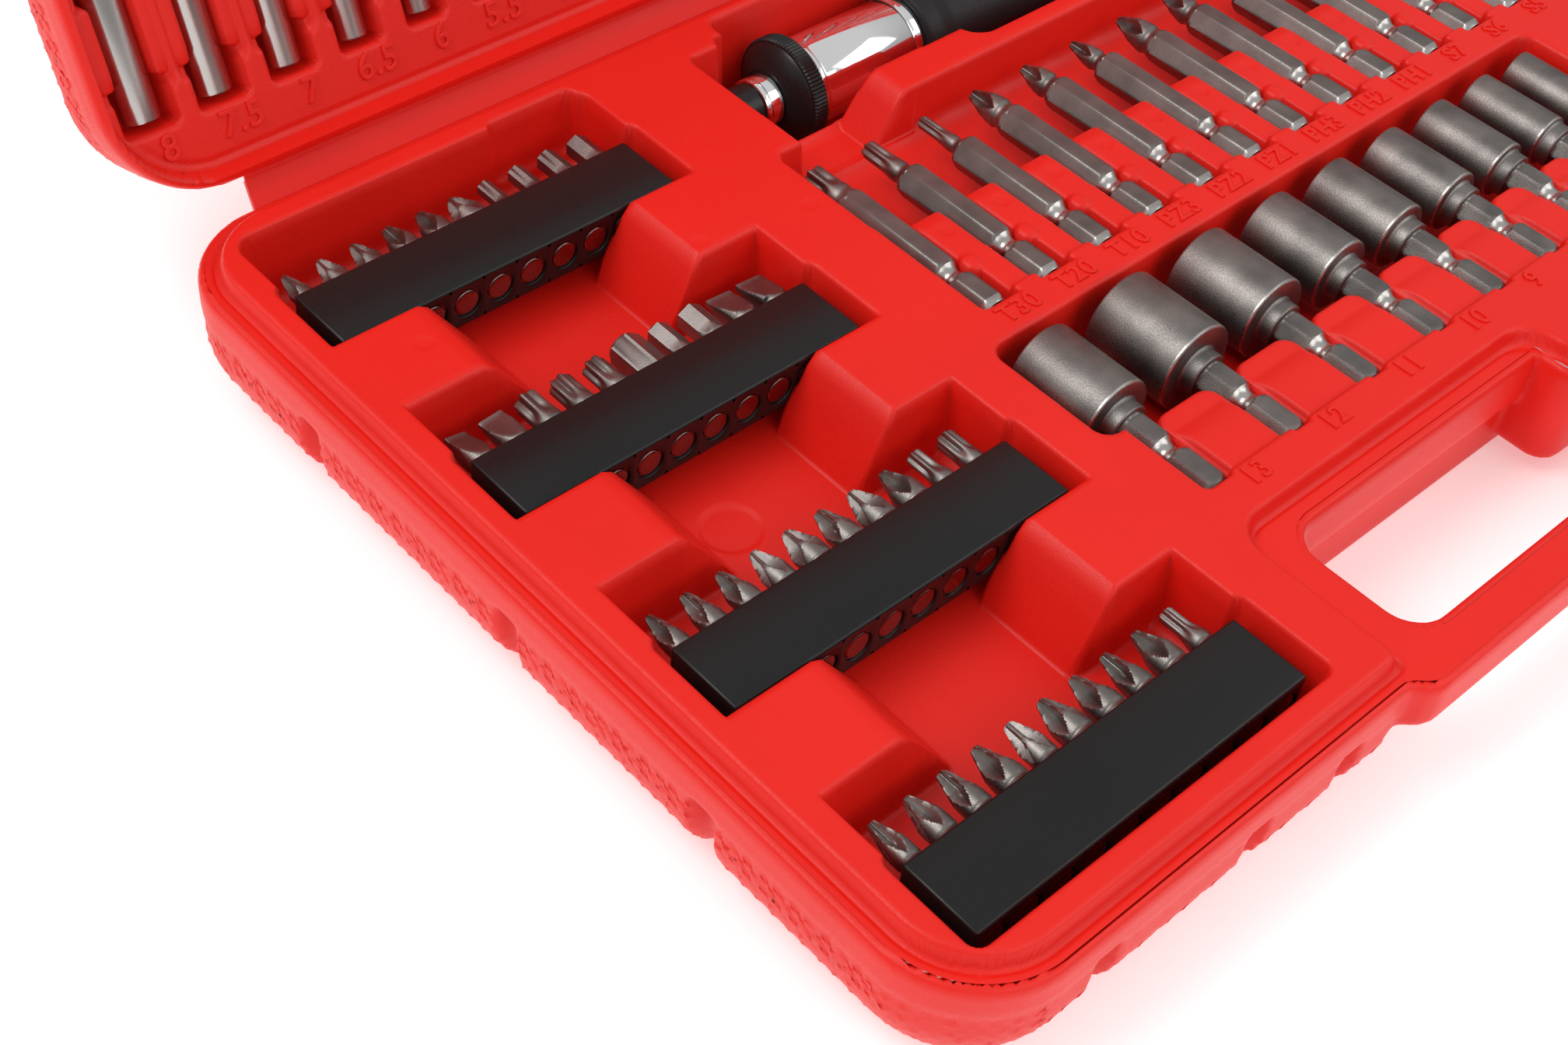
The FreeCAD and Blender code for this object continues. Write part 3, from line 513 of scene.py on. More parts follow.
def shell_field(x, y, z):
    """Signed distance of one half's solid outside, handle included."""
    sd = sd_case(x, y)
    below = ramp(-(z - (HALF_HEIGHT - WALL_BAND)), 0.0, 1.2)
    grooves = groove_masks(x, y)
    along = np.where(np.abs(x) > CASE_HALF - 10, y, x)
    past_x, past_y = np.abs(x) - (CASE_HALF - CORNER_R), np.abs(y) - (BACK - CORNER_R)
    along = np.where((past_x > 0) & (past_y > 0), np.arctan2(past_y, past_x) * CORNER_R, along)
    knurl = np.abs(np.sin(math.pi * (along / 3.4 + z / 3.0))) * np.abs(np.sin(math.pi * (along / 3.4 - z / 3.0)))
    textured = below * (1 - grooves) * ramp(z, 2.0, 5.0)
    sd = sd + 0.55 * below + 2.9 * below * grooves - textured * 0.5 * knurl
    mid = 15.5                                # the rim is rounded above this, the underside below
    r = np.where(z > mid, RIM_R, 14.8)
    body = round_corner(sd + r, np.where(z > mid, z - HALF_HEIGHT, -z) + r, r)
    under = np.maximum(sd_box(x, y, -HANDLE_HALF, HANDLE_HALF, FRONT - 30, OPENING_BACK + 2, 3.0),
                       z - HANDLE_UNDER)
    body = smooth_max(body, -under, 1.5)
    plan = np.maximum(sd_handle(x, y), -sd_hole(x, y))
    half_bar = (HALF_HEIGHT - HANDLE_UNDER) / 2
    bar_middle = HALF_HEIGHT - half_bar
    rh = np.where(z > bar_middle, RIM_R, 3.6)
    handle = round_corner(plan + rh, np.abs(z - bar_middle) - half_bar + rh, rh)
    opening = np.maximum(sd_hole(x, y), -(z - HANDLE_UNDER + 2))
    rounding = np.maximum(0, RIM_R - (HALF_HEIGHT - z))
    body = np.maximum(body, -(opening - RIM_R + np.sqrt(np.maximum(RIM_R ** 2 - rounding ** 2, 0))))
    latch = sd_box(x, y, -LATCH_BLOCK_HALF, LATCH_BLOCK_HALF, LATCH_BLOCK_FRONT, OPENING_BACK + 12, 5.0)
    middle = (BLOCK_UNDER + HALF_HEIGHT) / 2
    latch = round_corner(latch + RIM_R, np.abs(z - middle) - (HALF_HEIGHT - BLOCK_UNDER) / 2 + RIM_R, RIM_R)
    return np.minimum(smooth_min(body, handle, 1.2), latch)


def neighbours(axis):
    """Slices that pair every grid point with the next one along an axis."""
    near, far = [slice(None)] * 3, [slice(None)] * 3
    near[axis], far[axis] = slice(0, -1), slice(1, None)
    return tuple(near), tuple(far)


def surface_net(field_of, lo, hi, step):
    """Quads where a distance field crosses zero, on a regular grid."""
    axes = [np.arange(a, b + step, step) for a, b in zip(lo, hi)]
    x, y, z = np.meshgrid(*axes, indexing="ij")
    f = field_of(x, y, z).astype(np.float32)
    inside = f < 0
    shape = tuple(n - 1 for n in f.shape)
    total = np.zeros(shape + (3,), np.float32)
    count = np.zeros(shape, np.float32)
    for axis in range(3):
        a, b = neighbours(axis)
        fa, fb = f[a], f[b]
        cross = inside[a] != inside[b]
        part = np.where(cross, fa / np.where(cross, fa - fb, 1), 0)
        others = [k for k in range(3) if k != axis]
        for du in (0, 1):
            for dv in (0, 1):
                src = [slice(None)] * 3
                src[others[0]] = slice(du, shape[others[0]] + du)
                src[others[1]] = slice(dv, shape[others[1]] + dv)
                c = cross[tuple(src)]
                count += c
                total[..., axis] += np.where(c, part[tuple(src)], 0)
                total[..., others[0]] += c * du
                total[..., others[1]] += c * dv
    active = count > 0
    ids = np.full(shape, -1)
    ids[active] = np.arange(active.sum())
    cell = np.stack(np.nonzero(active), 1)
    verts = (cell + total[active] / count[active][:, None]) * step + np.array([a[0] for a in axes])
    quads = []
    for axis in range(3):
        a, b = neighbours(axis)
        u, v = (axis + 1) % 3, (axis + 2) % 3
        where = np.stack(np.nonzero(inside[a] != inside[b]), 1)
        where = where[(where[:, u] > 0) & (where[:, v] > 0) & (where[:, u] < shape[u]) & (where[:, v] < shape[v])]
        corner = []
        for du, dv in ((1, 1), (0, 1), (0, 0), (1, 0)):
            w = where.copy()
            w[:, u] -= du
            w[:, v] -= dv
            corner.append(ids[w[:, 0], w[:, 1], w[:, 2]])
        quad = np.stack(corner, 1)
        outward = inside[a][where[:, 0], where[:, 1], where[:, 2]]
        quad[~outward] = quad[~outward][:, ::-1]
        quads.append(quad)
    return verts, np.vstack(quads)


def shell_mesh():
    step = 0.95
    lo = (BASE_LO[0] - 1.5, BASE_LO[1] - 1.5, -1.5)
    hi = (BASE_HI[0] + 1.5, BACK + 1.5, HALF_HEIGHT + 1.5)
    verts, quads = surface_net(shell_field, lo, hi, step)
    centre = verts[quads].mean(1)
    hidden = (centre[:, 2] > HALF_HEIGHT - 0.25) & (sd_top(centre[:, 0], centre[:, 1]) < -3.2)
    verts, faces = without_spares(verts, quads[~hidden])
    top = verts[:, 2] > HALF_HEIGHT - 0.12
    sink = np.maximum(0, -1.8 - sd_top(verts[top, 0], verts[top, 1]))     # under the deck's own skin
    verts[top, 2] = HALF_HEIGHT - 0.03 - 3.0 * sink
    return verts, faces


# ---- top of the base: deck, bays, channels and blocks
BARS = [box_mm(f"bit_bar_{k}") for k in (1, 2, 3, 4)]
SEAT = BARS[0][0][2]
BAY_FLOOR = 13.0
POWER = {n: box_mm(n) for n in frame["nodes"] if n.startswith("power_bit_")}
POWER_ORDER = sorted(POWER, key=lambda n: POWER[n][0][0])
POWER_X = [(POWER[n][0][0] + POWER[n][1][0]) / 2 for n in POWER_ORDER]
POWER_TAIL = POWER[POWER_ORDER[0]][0][1]
NUT_SIZES = [13, 12, 11, 10, 9, 8, 7, 6, 5]
NUTS = {s: box_mm(f"nut_driver_{s}") for s in NUT_SIZES}
NUT_X = [(NUTS[s][0][0] + NUTS[s][1][0]) / 2 for s in NUT_SIZES]
NUT_TAIL = NUTS[13][0][1]
SOCKET_BOXES = [box_mm(f"socket_row_{k}") for k in (1, 2, 3)]
EXTENSION = box_mm("extension_bar")
GROUND_T, GROUND_Z = wall_profile(3.0, 0.12, 1.3, 0.7)


def base_ground(x, y):
    outside = sd_deck(x, y)
    h = DECK + np.interp(outside + GROUND_T[-1], GROUND_T, GROUND_Z)
    groove = np.maximum(0, 1 - ((outside - 0.35) / 0.55) ** 2)
    return h - 0.45 * groove * groove


base = Relief(base_ground)
EDGE_LINES = np.linspace(-1.2, 2.8, 14)
base.note((-CASE_HALF + LEDGE, CASE_HALF - LEDGE, FRONT + LEDGE, BACK - LEDGE), 1.0, EDGE_LINES, 1)
base.note((-NOTCH_HALF, NOTCH_HALF, -150, NOTCH_BACK), 1.0, EDGE_LINES, -1)

# bit bay on the left, socket bay on the right
BAY = (-195.5, -116.8, -92.5, 94.0)
base.hollow(*BAY, BAY_FLOOR, r=4.0, r_bottom=3.0)
base.hollow(-139.0, -118.0, 90.0, 95.2, BAY_FLOOR + 2, r=2.5, r_bottom=3.0)
for lo, hi in BARS:
    base.hollow(BAY[0] - 1.2, BAY[1] + 1.3, lo[1] - 2.4, hi[1] + 2.6, BAY_FLOOR, r=2.5)
    for x0, x1 in ((BAY[0] - 1.5, lo[0] + 10), (hi[0] - 10, BAY[1] + 1.5)):
        base.block(x0, x1, lo[1] - 0.5, hi[1] + 0.6, SEAT - 0.02, BAY_FLOOR, r=2.0, r_top=0.8)
for lo, hi in BARS[:3]:
    y0, y1 = lo[1] - 20.7, lo[1] - 0.5
    base.block(-199.5, -165.0, y0, y1, DECK, BAY_FLOOR, r=3.5, r_top=1.6,
               slope=lambda x, y: DECK - (x + 178.2) * 1.4)
    base.block(-138.5, -108.0, y0, y1, DECK, BAY_FLOOR, r=3.5, r_top=1.6,
               slope=lambda x, y: DECK + (x + 131.0) * 2.2)

SOCKET_FLOOR = SOCKET_BOXES[0][0][2] - 0.02
for (lo, hi), half, foot in [(box, 13.1, 2.5) for box in SOCKET_BOXES] + [(EXTENSION, 9, 3.0)]:
    y = (lo[1] + hi[1]) / 2
    base.hollow(-BAY[1] - 0.3, -BAY[0], y - half, y + half, SOCKET_FLOOR, r=4.0, r_bottom=foot)

# power bits: a cavity for the tips, fingers between the shanks
SLOT = 4.05
base.hollow(POWER_X[0] - SLOT, POWER_X[-1] + SLOT, POWER_TAIL - 0.5, 30.0, 20.0, r=1.2, r_top=0.9, r_bottom=1.0)
base.hollow(POWER_X[0] - SLOT, POWER_X[-1] + SLOT, 26.5, 55.0, 18.0, r=2.5, r_top=1.4, r_bottom=4.0)
for x, x_next in zip(POWER_X, POWER_X[1:]):
    top = DECK - 1.5
    base.block(x + 3.5, x_next - 3.7, 8.5, 31.0, top, 19.5, r=3.6, r_top=1.3, draft=0.05,
               slope=lambda px, py, t=top: t - (py - 25.6) * 1.7)
    base.block(x + 5.0, x_next - 3.7, POWER_TAIL - 6, 14.0, top, 19.5, r=1.2, r_top=1.0, draft=0.05)
    base.block(x + 2.9, x + 7.0, 8.3, 13.4, top + 0.65, 19.5, r=2.04, r_top=1.5, draft=0.06)
    base.block(x + 5.0, x_next - 3.7, POWER_TAIL - 6, POWER_TAIL + 1.6, DECK, 19.5, r=1.0, draft=0.05)
    base.dish((x + x_next) / 2 + 0.2, 20.3, 1.9, 0.16)
base.hollow(POWER_X[-1] - SLOT, POWER_X[-1] + SLOT + 1.2, POWER_TAIL - 0.5, 8.0, 20.0, r=1.2, r_top=0.9)

# nut drivers: a cavity for the sockets, blocks between the shanks
NUT_LEFT, NUT_RIGHT = NUTS[13][0][0] - 0.8, NUTS[5][1][0] + 3
base.hollow(NUT_LEFT, NUT_RIGHT, -37.0, -9.0, 14.0, r=3.5, r_top=1.5, r_bottom=3.5)
base.hollow(NUT_X[0] - 4.4, NUT_X[-1] + 4.4, NUT_TAIL - 0.5, -33.0, 16.5, r=1.5, r_top=1.1, r_bottom=1.5)
for x, x_next in zip(NUT_X, NUT_X[1:]):
    top = DECK - 1.3
    x0, x1 = x + 3.9, x_next - 4.1
    base.block(x0 - 0.9, x1 + 0.9, NUT_TAIL - 6, -37.4, top - 1.3, 16.0, r=3.4, r_top=1.0, draft=0.08)
    base.block(x0, x1, NUT_TAIL - 6, -38.6, top, 16.0, r=3.0, r_top=0.9, draft=0.05,
               slope=lambda px, py, t=top: t - (py + 44.0) * 0.55)
    base.block(x0 - 2, x1 + 2, NUT_TAIL - 9, NUT_TAIL + 0.3, DECK, 16.0, r=1.0, r_top=0.9, draft=0.03)

# driver: nose and passage, body, grip
HOLDER, RING = box_mm("driver_bit_holder"), box_mm("driver_selector_ring")
BODY, GRIP = box_mm("driver_ratchet_body"), box_mm("driver_grip")
RECESS_X = HOLDER[0][0] - 1.0
DRIVER_FLOOR = 2.7
base.hollow(RECESS_X, -60.0, 52.0, 66.5, 18.0, r=1.2, r_bottom=3.0)
base.hollow(RING[0][0] - 1.0, BODY[1][0] + 6, 64.5, GRIP[1][1] + 0.8, DRIVER_FLOOR, r=3.0, r_top=1.6, r_bottom=9.0)
base.hollow(BODY[1][0] - 1, GRIP[1][0] + 3, 60.0, GRIP[1][1] + 0.8, DRIVER_FLOOR, r=6.0, r_top=1.6, r_bottom=10.0)
base.hollow(RECESS_X, RING[0][0] + 4, 64.5, 88.8, DRIVER_FLOOR, r=2.0, r_top=1.2, r_bottom=6.0)
base.hollow(RECESS_X + 8, RING[0][0] + 4, 64.5, 91.6, DRIVER_FLOOR, r=3.0, r_top=1.2, r_bottom=6.0)
base.block(-74.0, -50.0, 55.0, 64.5, DECK, 18.0, r=1.0, draft=0.07, r_bottom=1.6,
           slope=lambda x, y: 18.6 + (x + 72.0) * 1.5)

# marks left by the mould
for cx, cy, radius, depth in ((-128.0, 44.0, 2.0, 0.14), (-184.0, 52.0, 2.0, 0.14), (-160.0, -2.5, 5.8, 0.5),
                              (-104.5, 40.0, 1.8, 0.14)):
    base.dish(cx, cy, radius, depth)


BASE_TILES = [(-205.0, -108.0, -107.0, 104.0), (-108.0, 95.0, -6.0, 104.0), (-108.0, 95.0, -61.0, -6.0),
              (-108.0, 95.0, -107.0, -61.0), (95.0, 205.0, -107.0, 104.0)]
ON_BASE = {"material": red, "body": "case_base", "slot": "red_case", "replaces": ("case_base",)}
base.tiles(BASE_TILES, CORNER_LINES_X, CORNER_LINES_Y).make("base_deck", **ON_BASE)
shell_verts, shell_faces = shell_mesh()
add_mesh("base_shell", shell_verts, shell_faces, **ON_BASE, sharp=60)


# ---- bits
def wing_angle(theta):
    """Angle to the nearest of four wings."""
    return np.mod(theta + math.pi / 4, math.pi / 2) - math.pi / 4


def cross_section(radius, web, ribs=0.0):
    """Four wings; `web` is the wing thickness, `ribs` the size of small ribs between them."""
    a = np.abs(np.sin(wing_angle(THETA)))
    r = np.minimum(radius, np.maximum(web / 2 / np.maximum(a, 1e-3), web * 0.62))
    if ribs:
        between = np.abs(wing_angle(THETA + math.pi / 4))
        r = np.maximum(r, np.where(between < 0.2, np.minimum(radius * 0.8, web * 0.75 + ribs), 0))
    return r


def star_section(radius, depth=0.16):
    return radius * (1 - depth + depth * np.cos(6 * THETA))


def blade_section(radius, width, thick):
    flat = thick / 2 / np.maximum(np.abs(np.sin(THETA)), 1e-3)
    side = width / 2 / np.maximum(np.abs(np.cos(THETA)), 1e-3)
    return np.minimum(radius, np.minimum(flat, side))


def cross_tip(start, end, body, tip, web, ribs=0.0):
    """Stations of a cross tip: flutes open up from `start`, the cone ends at `end`."""
    stations = []
    length = end - start
    for t in np.linspace(0, 1, 22):
        s = start + t * length
        env = body if t < 0.36 else body + (tip - body) * ((t - 0.36) / 0.64) ** 1.1
        grow = 1 - min(t / 0.6, 1.0)
        wide = web * (0.62 + 0.38 * (1 - t)) + (body * 1.45 - web) * grow ** 1.7
        stations.append((s, cross_section(env, wide, ribs if t > 0.35 else 0)))
    stations.append((end + 0.25, cross_section(tip * 0.55, web * 0.45)))
    return stations


def star_tip(start, end, body, star):
    stations = []
    for t in np.linspace(0, 1, 10):
        s = start + t * (end - start) * 0.5
        r = body + (star - body) * ramp(t, 0, 1)
        deep = 0.16 * ramp(t, 0.1, 1)
        stations.append((s, np.minimum(star_section(r + 0.02, deep), r)))
    stations.append((end - 0.5, star_section(star)))
    stations.append((end, star_section(star * 0.82)))
    return stations


def hex_tip(start, end, body, across):
    corner = across / math.sqrt(3)
    stations = []
    for t in np.linspace(0, 1, 7):
        s = start + t * (end - start) * 0.3
        r = body + (corner - body) * ramp(t, 0, 1)
        stations.append((s, np.minimum(hex_radii(across + (body * 2 - across) * (1 - t) ** 2), r)))
    stations.append((end - 0.35, hex_radii(across)))
    stations.append((end, hex_radii(across, across / 2 * 0.98) - 0.2))
    return stations


def slot_tip(start, end, body, width, thick):
    stations = []
    for t in np.linspace(0, 1, 18):
        s = start + t * (end - start)
        half = thick + (2 * body - thick) * (1 - min(t / 0.9, 1.0)) ** 1.15
        wide = 2 * body + (width - 2 * body) * ramp(t, 0.0, 0.9)
        env = max(body, width / 2) * 1.02 if t > 0.1 else body
        stations.append((s, blade_section(env, wide, half)))
    return stations


TIPS = {
    "cross": lambda start, end, body, size: cross_tip(start, end, body, 0.30 * body + 0.1, 0.22 * body + 0.2),
    "pozi": lambda start, end, body, size: cross_tip(start, end, body, 0.36 * body + 0.1, 0.22 * body + 0.2, 0.2),
    "star": lambda start, end, body, size: star_tip(start, end, body, size / 2),
    "hex": lambda start, end, body, size: hex_tip(start, end, body, size),
    "slot": lambda start, end, body, size: slot_tip(start, end, body, size, 0.16 * size + 0.3),
}
HEX = 6.35                                   # 1/4 inch across flats


def chamfered_start(cut=0.7):
    return [(0.0, hex_radii(HEX, HEX * 0.46)), (cut * 0.4, hex_radii(HEX, HEX * 0.5)),
            (cut, hex_radii(HEX, HEX * 0.545)), (cut * 1.6, hex_radii(HEX))]


def neck_into(s0, s1, body, dip):
    """Hexagon ends in a rounded shoulder, a concave neck leads to the tip's body."""
    stations = [(s0, hex_radii(HEX)), (s0 + 0.25, hex_radii(HEX, HEX * 0.545))]
    for t in np.linspace(0, 1, 8):
        s = s0 + 0.5 + t * (s1 - s0 - 0.5)
        shoulder = HEX * 0.5 * (1 - t) ** 1.4
        r = max(body - dip * math.sin(math.pi * t), 0) * ramp(t, -0.2, 0.6) + shoulder * (1 - ramp(t, 0, 0.75))
        stations.append((s, hex_radii(HEX, max(r, body - dip))))
    return stations


BAR_TIPS = [
    [("cross", 2.1), ("cross", 2.4), ("cross", 2.5), ("pozi", 3.0), ("cross", 3.1), ("cross", 3.2),
     ("hex", 3.0), ("hex", 3.4), ("hex", 4.0), ("hex", 4.4)],
    [("slot", 4.4), ("slot", 4.9), ("star", 5.4), ("star", 4.9), ("star", 4.9), ("hex", 6.3), ("hex", 4.2),
     ("hex", 5.0), ("slot", 6.0), ("slot", 7.0)],
    [("cross", 2.3), ("pozi", 2.5), ("cross", 2.6), ("cross", 2.6), ("cross", 3.0), ("pozi", 2.9), ("cross", 3.0),
     ("cross", 3.1), ("star", 3.6), ("star", 4.2)],
    [("pozi", 2.3), ("cross", 2.6), ("pozi", 2.6), ("cross", 3.0), ("pozi", 2.5), ("cross", 3.0), ("cross", 3.1),
     ("pozi", 2.7), ("cross", 3.0), ("star", 3.2)],
]


def insert_bit(kind, size, length):
    shank = 14.4
    body = {"star": max(size / 2 + 0.2, 2.3), "hex": max(size / 2 + 0.3, 2.4), "slot": 2.75}.get(kind, size)
    if kind == "hex" and size > 6:
        return chamfered_start() + [(shank, hex_radii(HEX)), (length - 0.6, hex_radii(HEX)),
                                    (length, hex_radii(HEX, HEX * 0.5) - 0.15)]
    stations = chamfered_start() + [(shank - 1, hex_radii(HEX))]
    stations += neck_into(shank, shank + 2.2, body, dip=0.2)
    stations += TIPS[kind](shank + 2.4, length - 0.3, body, min(size, 6.3) if kind == "slot" else size)
    return stations


def rounded_rect(x0, x1, z0, z1, inset, r, per=5):
    pts = []
    for cx, cz, a0 in ((x1 - inset - r, z1 - inset - r, 0), (x0 + inset + r, z1 - inset - r, 90),
                       (x0 + inset + r, z0 + inset + r, 180), (x1 - inset - r, z0 + inset + r, 270)):
        for a in np.radians(np.linspace(a0, a0 + 90, per)):
            pts.append((cx + r * math.cos(a), cz + r * math.sin(a)))
    return np.array(pts)


def bar_body(lo, hi, centres):
    """A moulded bar with round holes in its front face."""
    (x0, y0, z0), (x1, y1, z1) = lo, hi
    bundle = Bundle()
    rings = []
    for y, inset, r in ((y0, 0.55, 0.05), (y0 + 0.16, 0.16, 0.4), (y0 + 0.55, 0.0, 0.55),
                        (y1 - 0.55, 0.0, 0.55), (y1 - 0.16, 0.16, 0.4), (y1, 0.55, 0.05)):
        ring = rounded_rect(x0, x1, z0, z1, inset, r)
        rings.append(np.stack([ring[:, 0], np.full(len(ring), y), ring[:, 1]], 1))
    n = len(rings[0])
    faces = ring_faces(len(rings), n) + [tuple(range(5 * n, 6 * n))]
    bundle.add(np.vstack(rings), faces)
    zc, m, hole = (z0 + z1) / 2, 40, 2.95
    angles = np.arange(m) * 2 * math.pi / m
    edges = [x0 + 0.55] + [(a + b) / 2 for a, b in zip(centres, centres[1:])] + [x1 - 0.55]
    for k, cx in enumerate(centres):
        left, right, low, high = edges[k], edges[k + 1], z0 + 0.55, z1 - 0.55
        frame_pts, lip, wall, floor_pts = [], [], [], []
        for a in angles:
            c, s = math.cos(a), math.sin(a)
            reach = min((right - cx) / c if c > 1e-9 else (left - cx) / c if c < -1e-9 else 1e9,
                        (high - zc) / s if s > 1e-9 else (low - zc) / s if s < -1e-9 else 1e9)
            frame_pts.append((cx + reach * c, y0, zc + reach * s))
            lip.append((cx + (hole + 0.12) * c, y0, zc + (hole + 0.12) * s))
            wall.append((cx + hole * c, y0 + 0.12, zc + hole * s))
            floor_pts.append((cx + hole * c, y0 + 1.4, zc + hole * s))
        bundle.add(frame_pts + lip + wall + floor_pts,
                   [f[::-1] for f in ring_faces(4, m)] + [tuple(range(3 * m, 4 * m))])
    return bundle


for k, (lo, hi) in enumerate(BARS):
    centres = [(lo[0] + hi[0]) / 2 + 7.4 * (i - 4.5) for i in range(10)]
    zc = (lo[2] + hi[2]) / 2
    bar_body(lo, hi, centres).make(f"bar_{k + 1}", black_bar, f"bit_bar_{k + 1}", slot="black_bar",
                                   replaces=(f"bit_bar_{k + 1}",), sharp=50)
    discs, bits = Bundle(), Bundle()
    bits_lo, bits_hi = box_mm(f"insert_bits_{k + 1}")
    for cx, (kind, size) in zip(centres, BAR_TIPS[k]):
        discs.add(*shaft([(0.0, 0.3), (0.0, 2.1), (0.06, 2.5), (0.25, 2.68), (1.1, 2.7)],
                         (cx, lo[1] + 0.12, zc), (0, 1, 0), n=40))
        turn = float(RNG.uniform(-0.7, 0.7)) if kind != "hex" else 0.0
        if kind == "slot":
            turn = math.pi / 2 + 0.25 * turn
        stations = insert_bit(kind, size, bits_hi[1] - bits_lo[1])
        verts, faces = shaft(stations, (0, 0, 0), (0, 1, 0))
        if turn:
            blend_in = np.clip((verts[:, 1] - 14.7) / 1.4, 0, 1) * turn
            c, s = np.cos(blend_in), np.sin(blend_in)
            verts = np.stack([verts[:, 0] * c - verts[:, 2] * s, verts[:, 1], verts[:, 0] * s + verts[:, 2] * c], 1)
        # the hexagon lies with a corner up
        verts = np.stack([verts[:, 2], verts[:, 1], -verts[:, 0]], 1)
        bits.add(verts + (cx, bits_lo[1], zc), faces)
    discs.make(f"bar_{k + 1}_discs", nickel, f"bit_bar_{k + 1}", slot="bit_steel",
               replaces=(f"insert_bits_{k + 1}",), sharp=45)
    bits.make(f"insert_bits_{k + 1}_set", bit_steel, f"bit_bar_{k + 1}", slot="bit_steel",
              replaces=(f"insert_bits_{k + 1}",), sharp=35)


# ---- power bits and nut drivers
GROOVE_AT, GROOVE = 9.5, 3.6                 # the ball groove's start and length
BRIGHT = (9.4, 13.0)                         # the worn, brighter part of a shank


def quick_shank(length):
    """Hexagon with a rounded ball groove between two shoulders."""
    shoulder, waist = 3.2, 2.3
    after = GROOVE_AT + GROOVE
    stations = [(GROOVE_AT - 0.9, hex_radii(HEX)), (GROOVE_AT - 0.4, hex_radii(HEX, 3.45)),
                (GROOVE_AT, hex_radii(HEX, shoulder))]
    for t in np.linspace(0.06, 0.94, 11):
        r = waist + (shoulder - waist) * (2 * t - 1) ** 2
        stations.append((GROOVE_AT + GROOVE * t, hex_radii(HEX, r)))
    return chamfered_start(cut=1.0) + stations + [
        (after, hex_radii(HEX, shoulder)), (after + 0.4, hex_radii(HEX, 3.45)), (after + 0.9, hex_radii(HEX)),
        (length, hex_radii(HEX))]


POWER_TIPS = {
    "star_30": ("star", 5.5, 2.95, 12.0), "star_20": ("star", 3.9, 2.25, 13.0), "star_10": ("star", 2.8, 1.75, 13.0),
    "pozi_3": ("pozi", 3.3, 3.15, 11.5), "pozi_2": ("pozi", 2.9, 2.8, 10.5), "pozi_1": ("pozi", 2.4, 2.3, 10.5),
    "cross_3": ("cross", 3.4, 3.25, 12.0), "cross_2": ("cross", 2.9, 2.85, 10.5),
    "cross_1": ("cross", 2.4, 2.3, 10.5),
    "slot_7": ("slot", 6.2, 2.9, 11.5), "slot_6": ("slot", 5.8, 2.8, 11.5), "slot_5": ("slot", 4.9, 2.4, 11.5),
    "slot_4": ("slot", 4.0, 2.1, 11.5),
}


def power_bit(name, length):
    kind, size, body, tip_length = POWER_TIPS[name]
    shank = length - tip_length
    stations = quick_shank(shank)
    stations += neck_into(shank, shank + 3.4, body, dip=0.12 if kind == "star" else 0.45)
    stations += TIPS[kind](shank + 3.6, length - 0.3, body, size)
    return stations


def lying_tool(node, lo, hi, stations, material, slot, sharp, *bright):
    """A tool on its side, tail towards the front, with brighter bands along it."""
    verts, faces = shaft(stations, ((lo[0] + hi[0]) / 2, lo[1], (lo[2] + hi[2]) / 2), (0, 1, 0))
    add_mesh(node + "_body", verts, faces, material, node, slot=slot, replaces=(node,), sharp=sharp,
             accent=bright_steel, accent_faces=faces_between(stations, SAMPLES, *bright))


for node in POWER_ORDER:
    lo, hi = POWER[node]
    stations = power_bit(node[len("power_bit_"):], hi[1] - lo[1])
    lying_tool(node, lo, hi, stations, bit_steel, "bit_steel", 35, (0.0, 1.2), BRIGHT)


SOCKET_DEPTH = 19.0                          # length of a nut driver's socket


def nut_driver(size, outside, length):
    r = outside / 2
    neck = min(4.6, r - 0.8)
    socket = length - SOCKET_DEPTH
    start = socket - 3.0
    stations = quick_shank(start - 0.6)
    stations += [(start - 0.3, hex_radii(HEX, 3.5)), (start, 3.55), (start + 0.1, neck - 0.25), (start + 0.35, neck),
                 (socket - 0.7, neck), (socket - 0.35, neck + 0.12), (socket - 0.05, neck + 0.45),
                 (socket, r - 0.55), (socket + 0.08, r - 0.25), (socket + 0.3, r - 0.04), (socket + 0.6, r),
                 (length - 0.6, r), (length - 0.2, r - 0.12), (length, r - 0.4)]
    bore = size / math.sqrt(3)
    lip = min(bore + 0.25, r - 0.5)
    stations += [(length, lip), (length - 0.5, hex_radii(size, bore)), (length - 10.5, hex_radii(size, bore)),
                 (length - 11.0, size * 0.3)]
    return stations


for size in NUT_SIZES:
    lo, hi = NUTS[size]
    stations = nut_driver(size, hi[0] - lo[0], hi[1] - lo[1])
    rim = hi[1] - lo[1] - SOCKET_DEPTH
    lying_tool(f"nut_driver_{size}", lo, hi, stations, nut_steel, "nut_steel", 32, BRIGHT, (rim + 0.05, rim + 0.35))


# ---- ratchet driver
AXIS_Y = (GRIP[0][1] + GRIP[1][1]) / 2
AXIS_Z = (GRIP[0][2] + GRIP[1][2]) / 2


def turned(name, x0, stations, material, body, slot, node, n=96, sharp=30):
    verts, faces = shaft(stations, (x0, AXIS_Y, AXIS_Z), (1, 0, 0), n=n)
    return add_mesh(name, verts, faces, material, body, slot=slot, replaces=(node,), sharp=sharp)


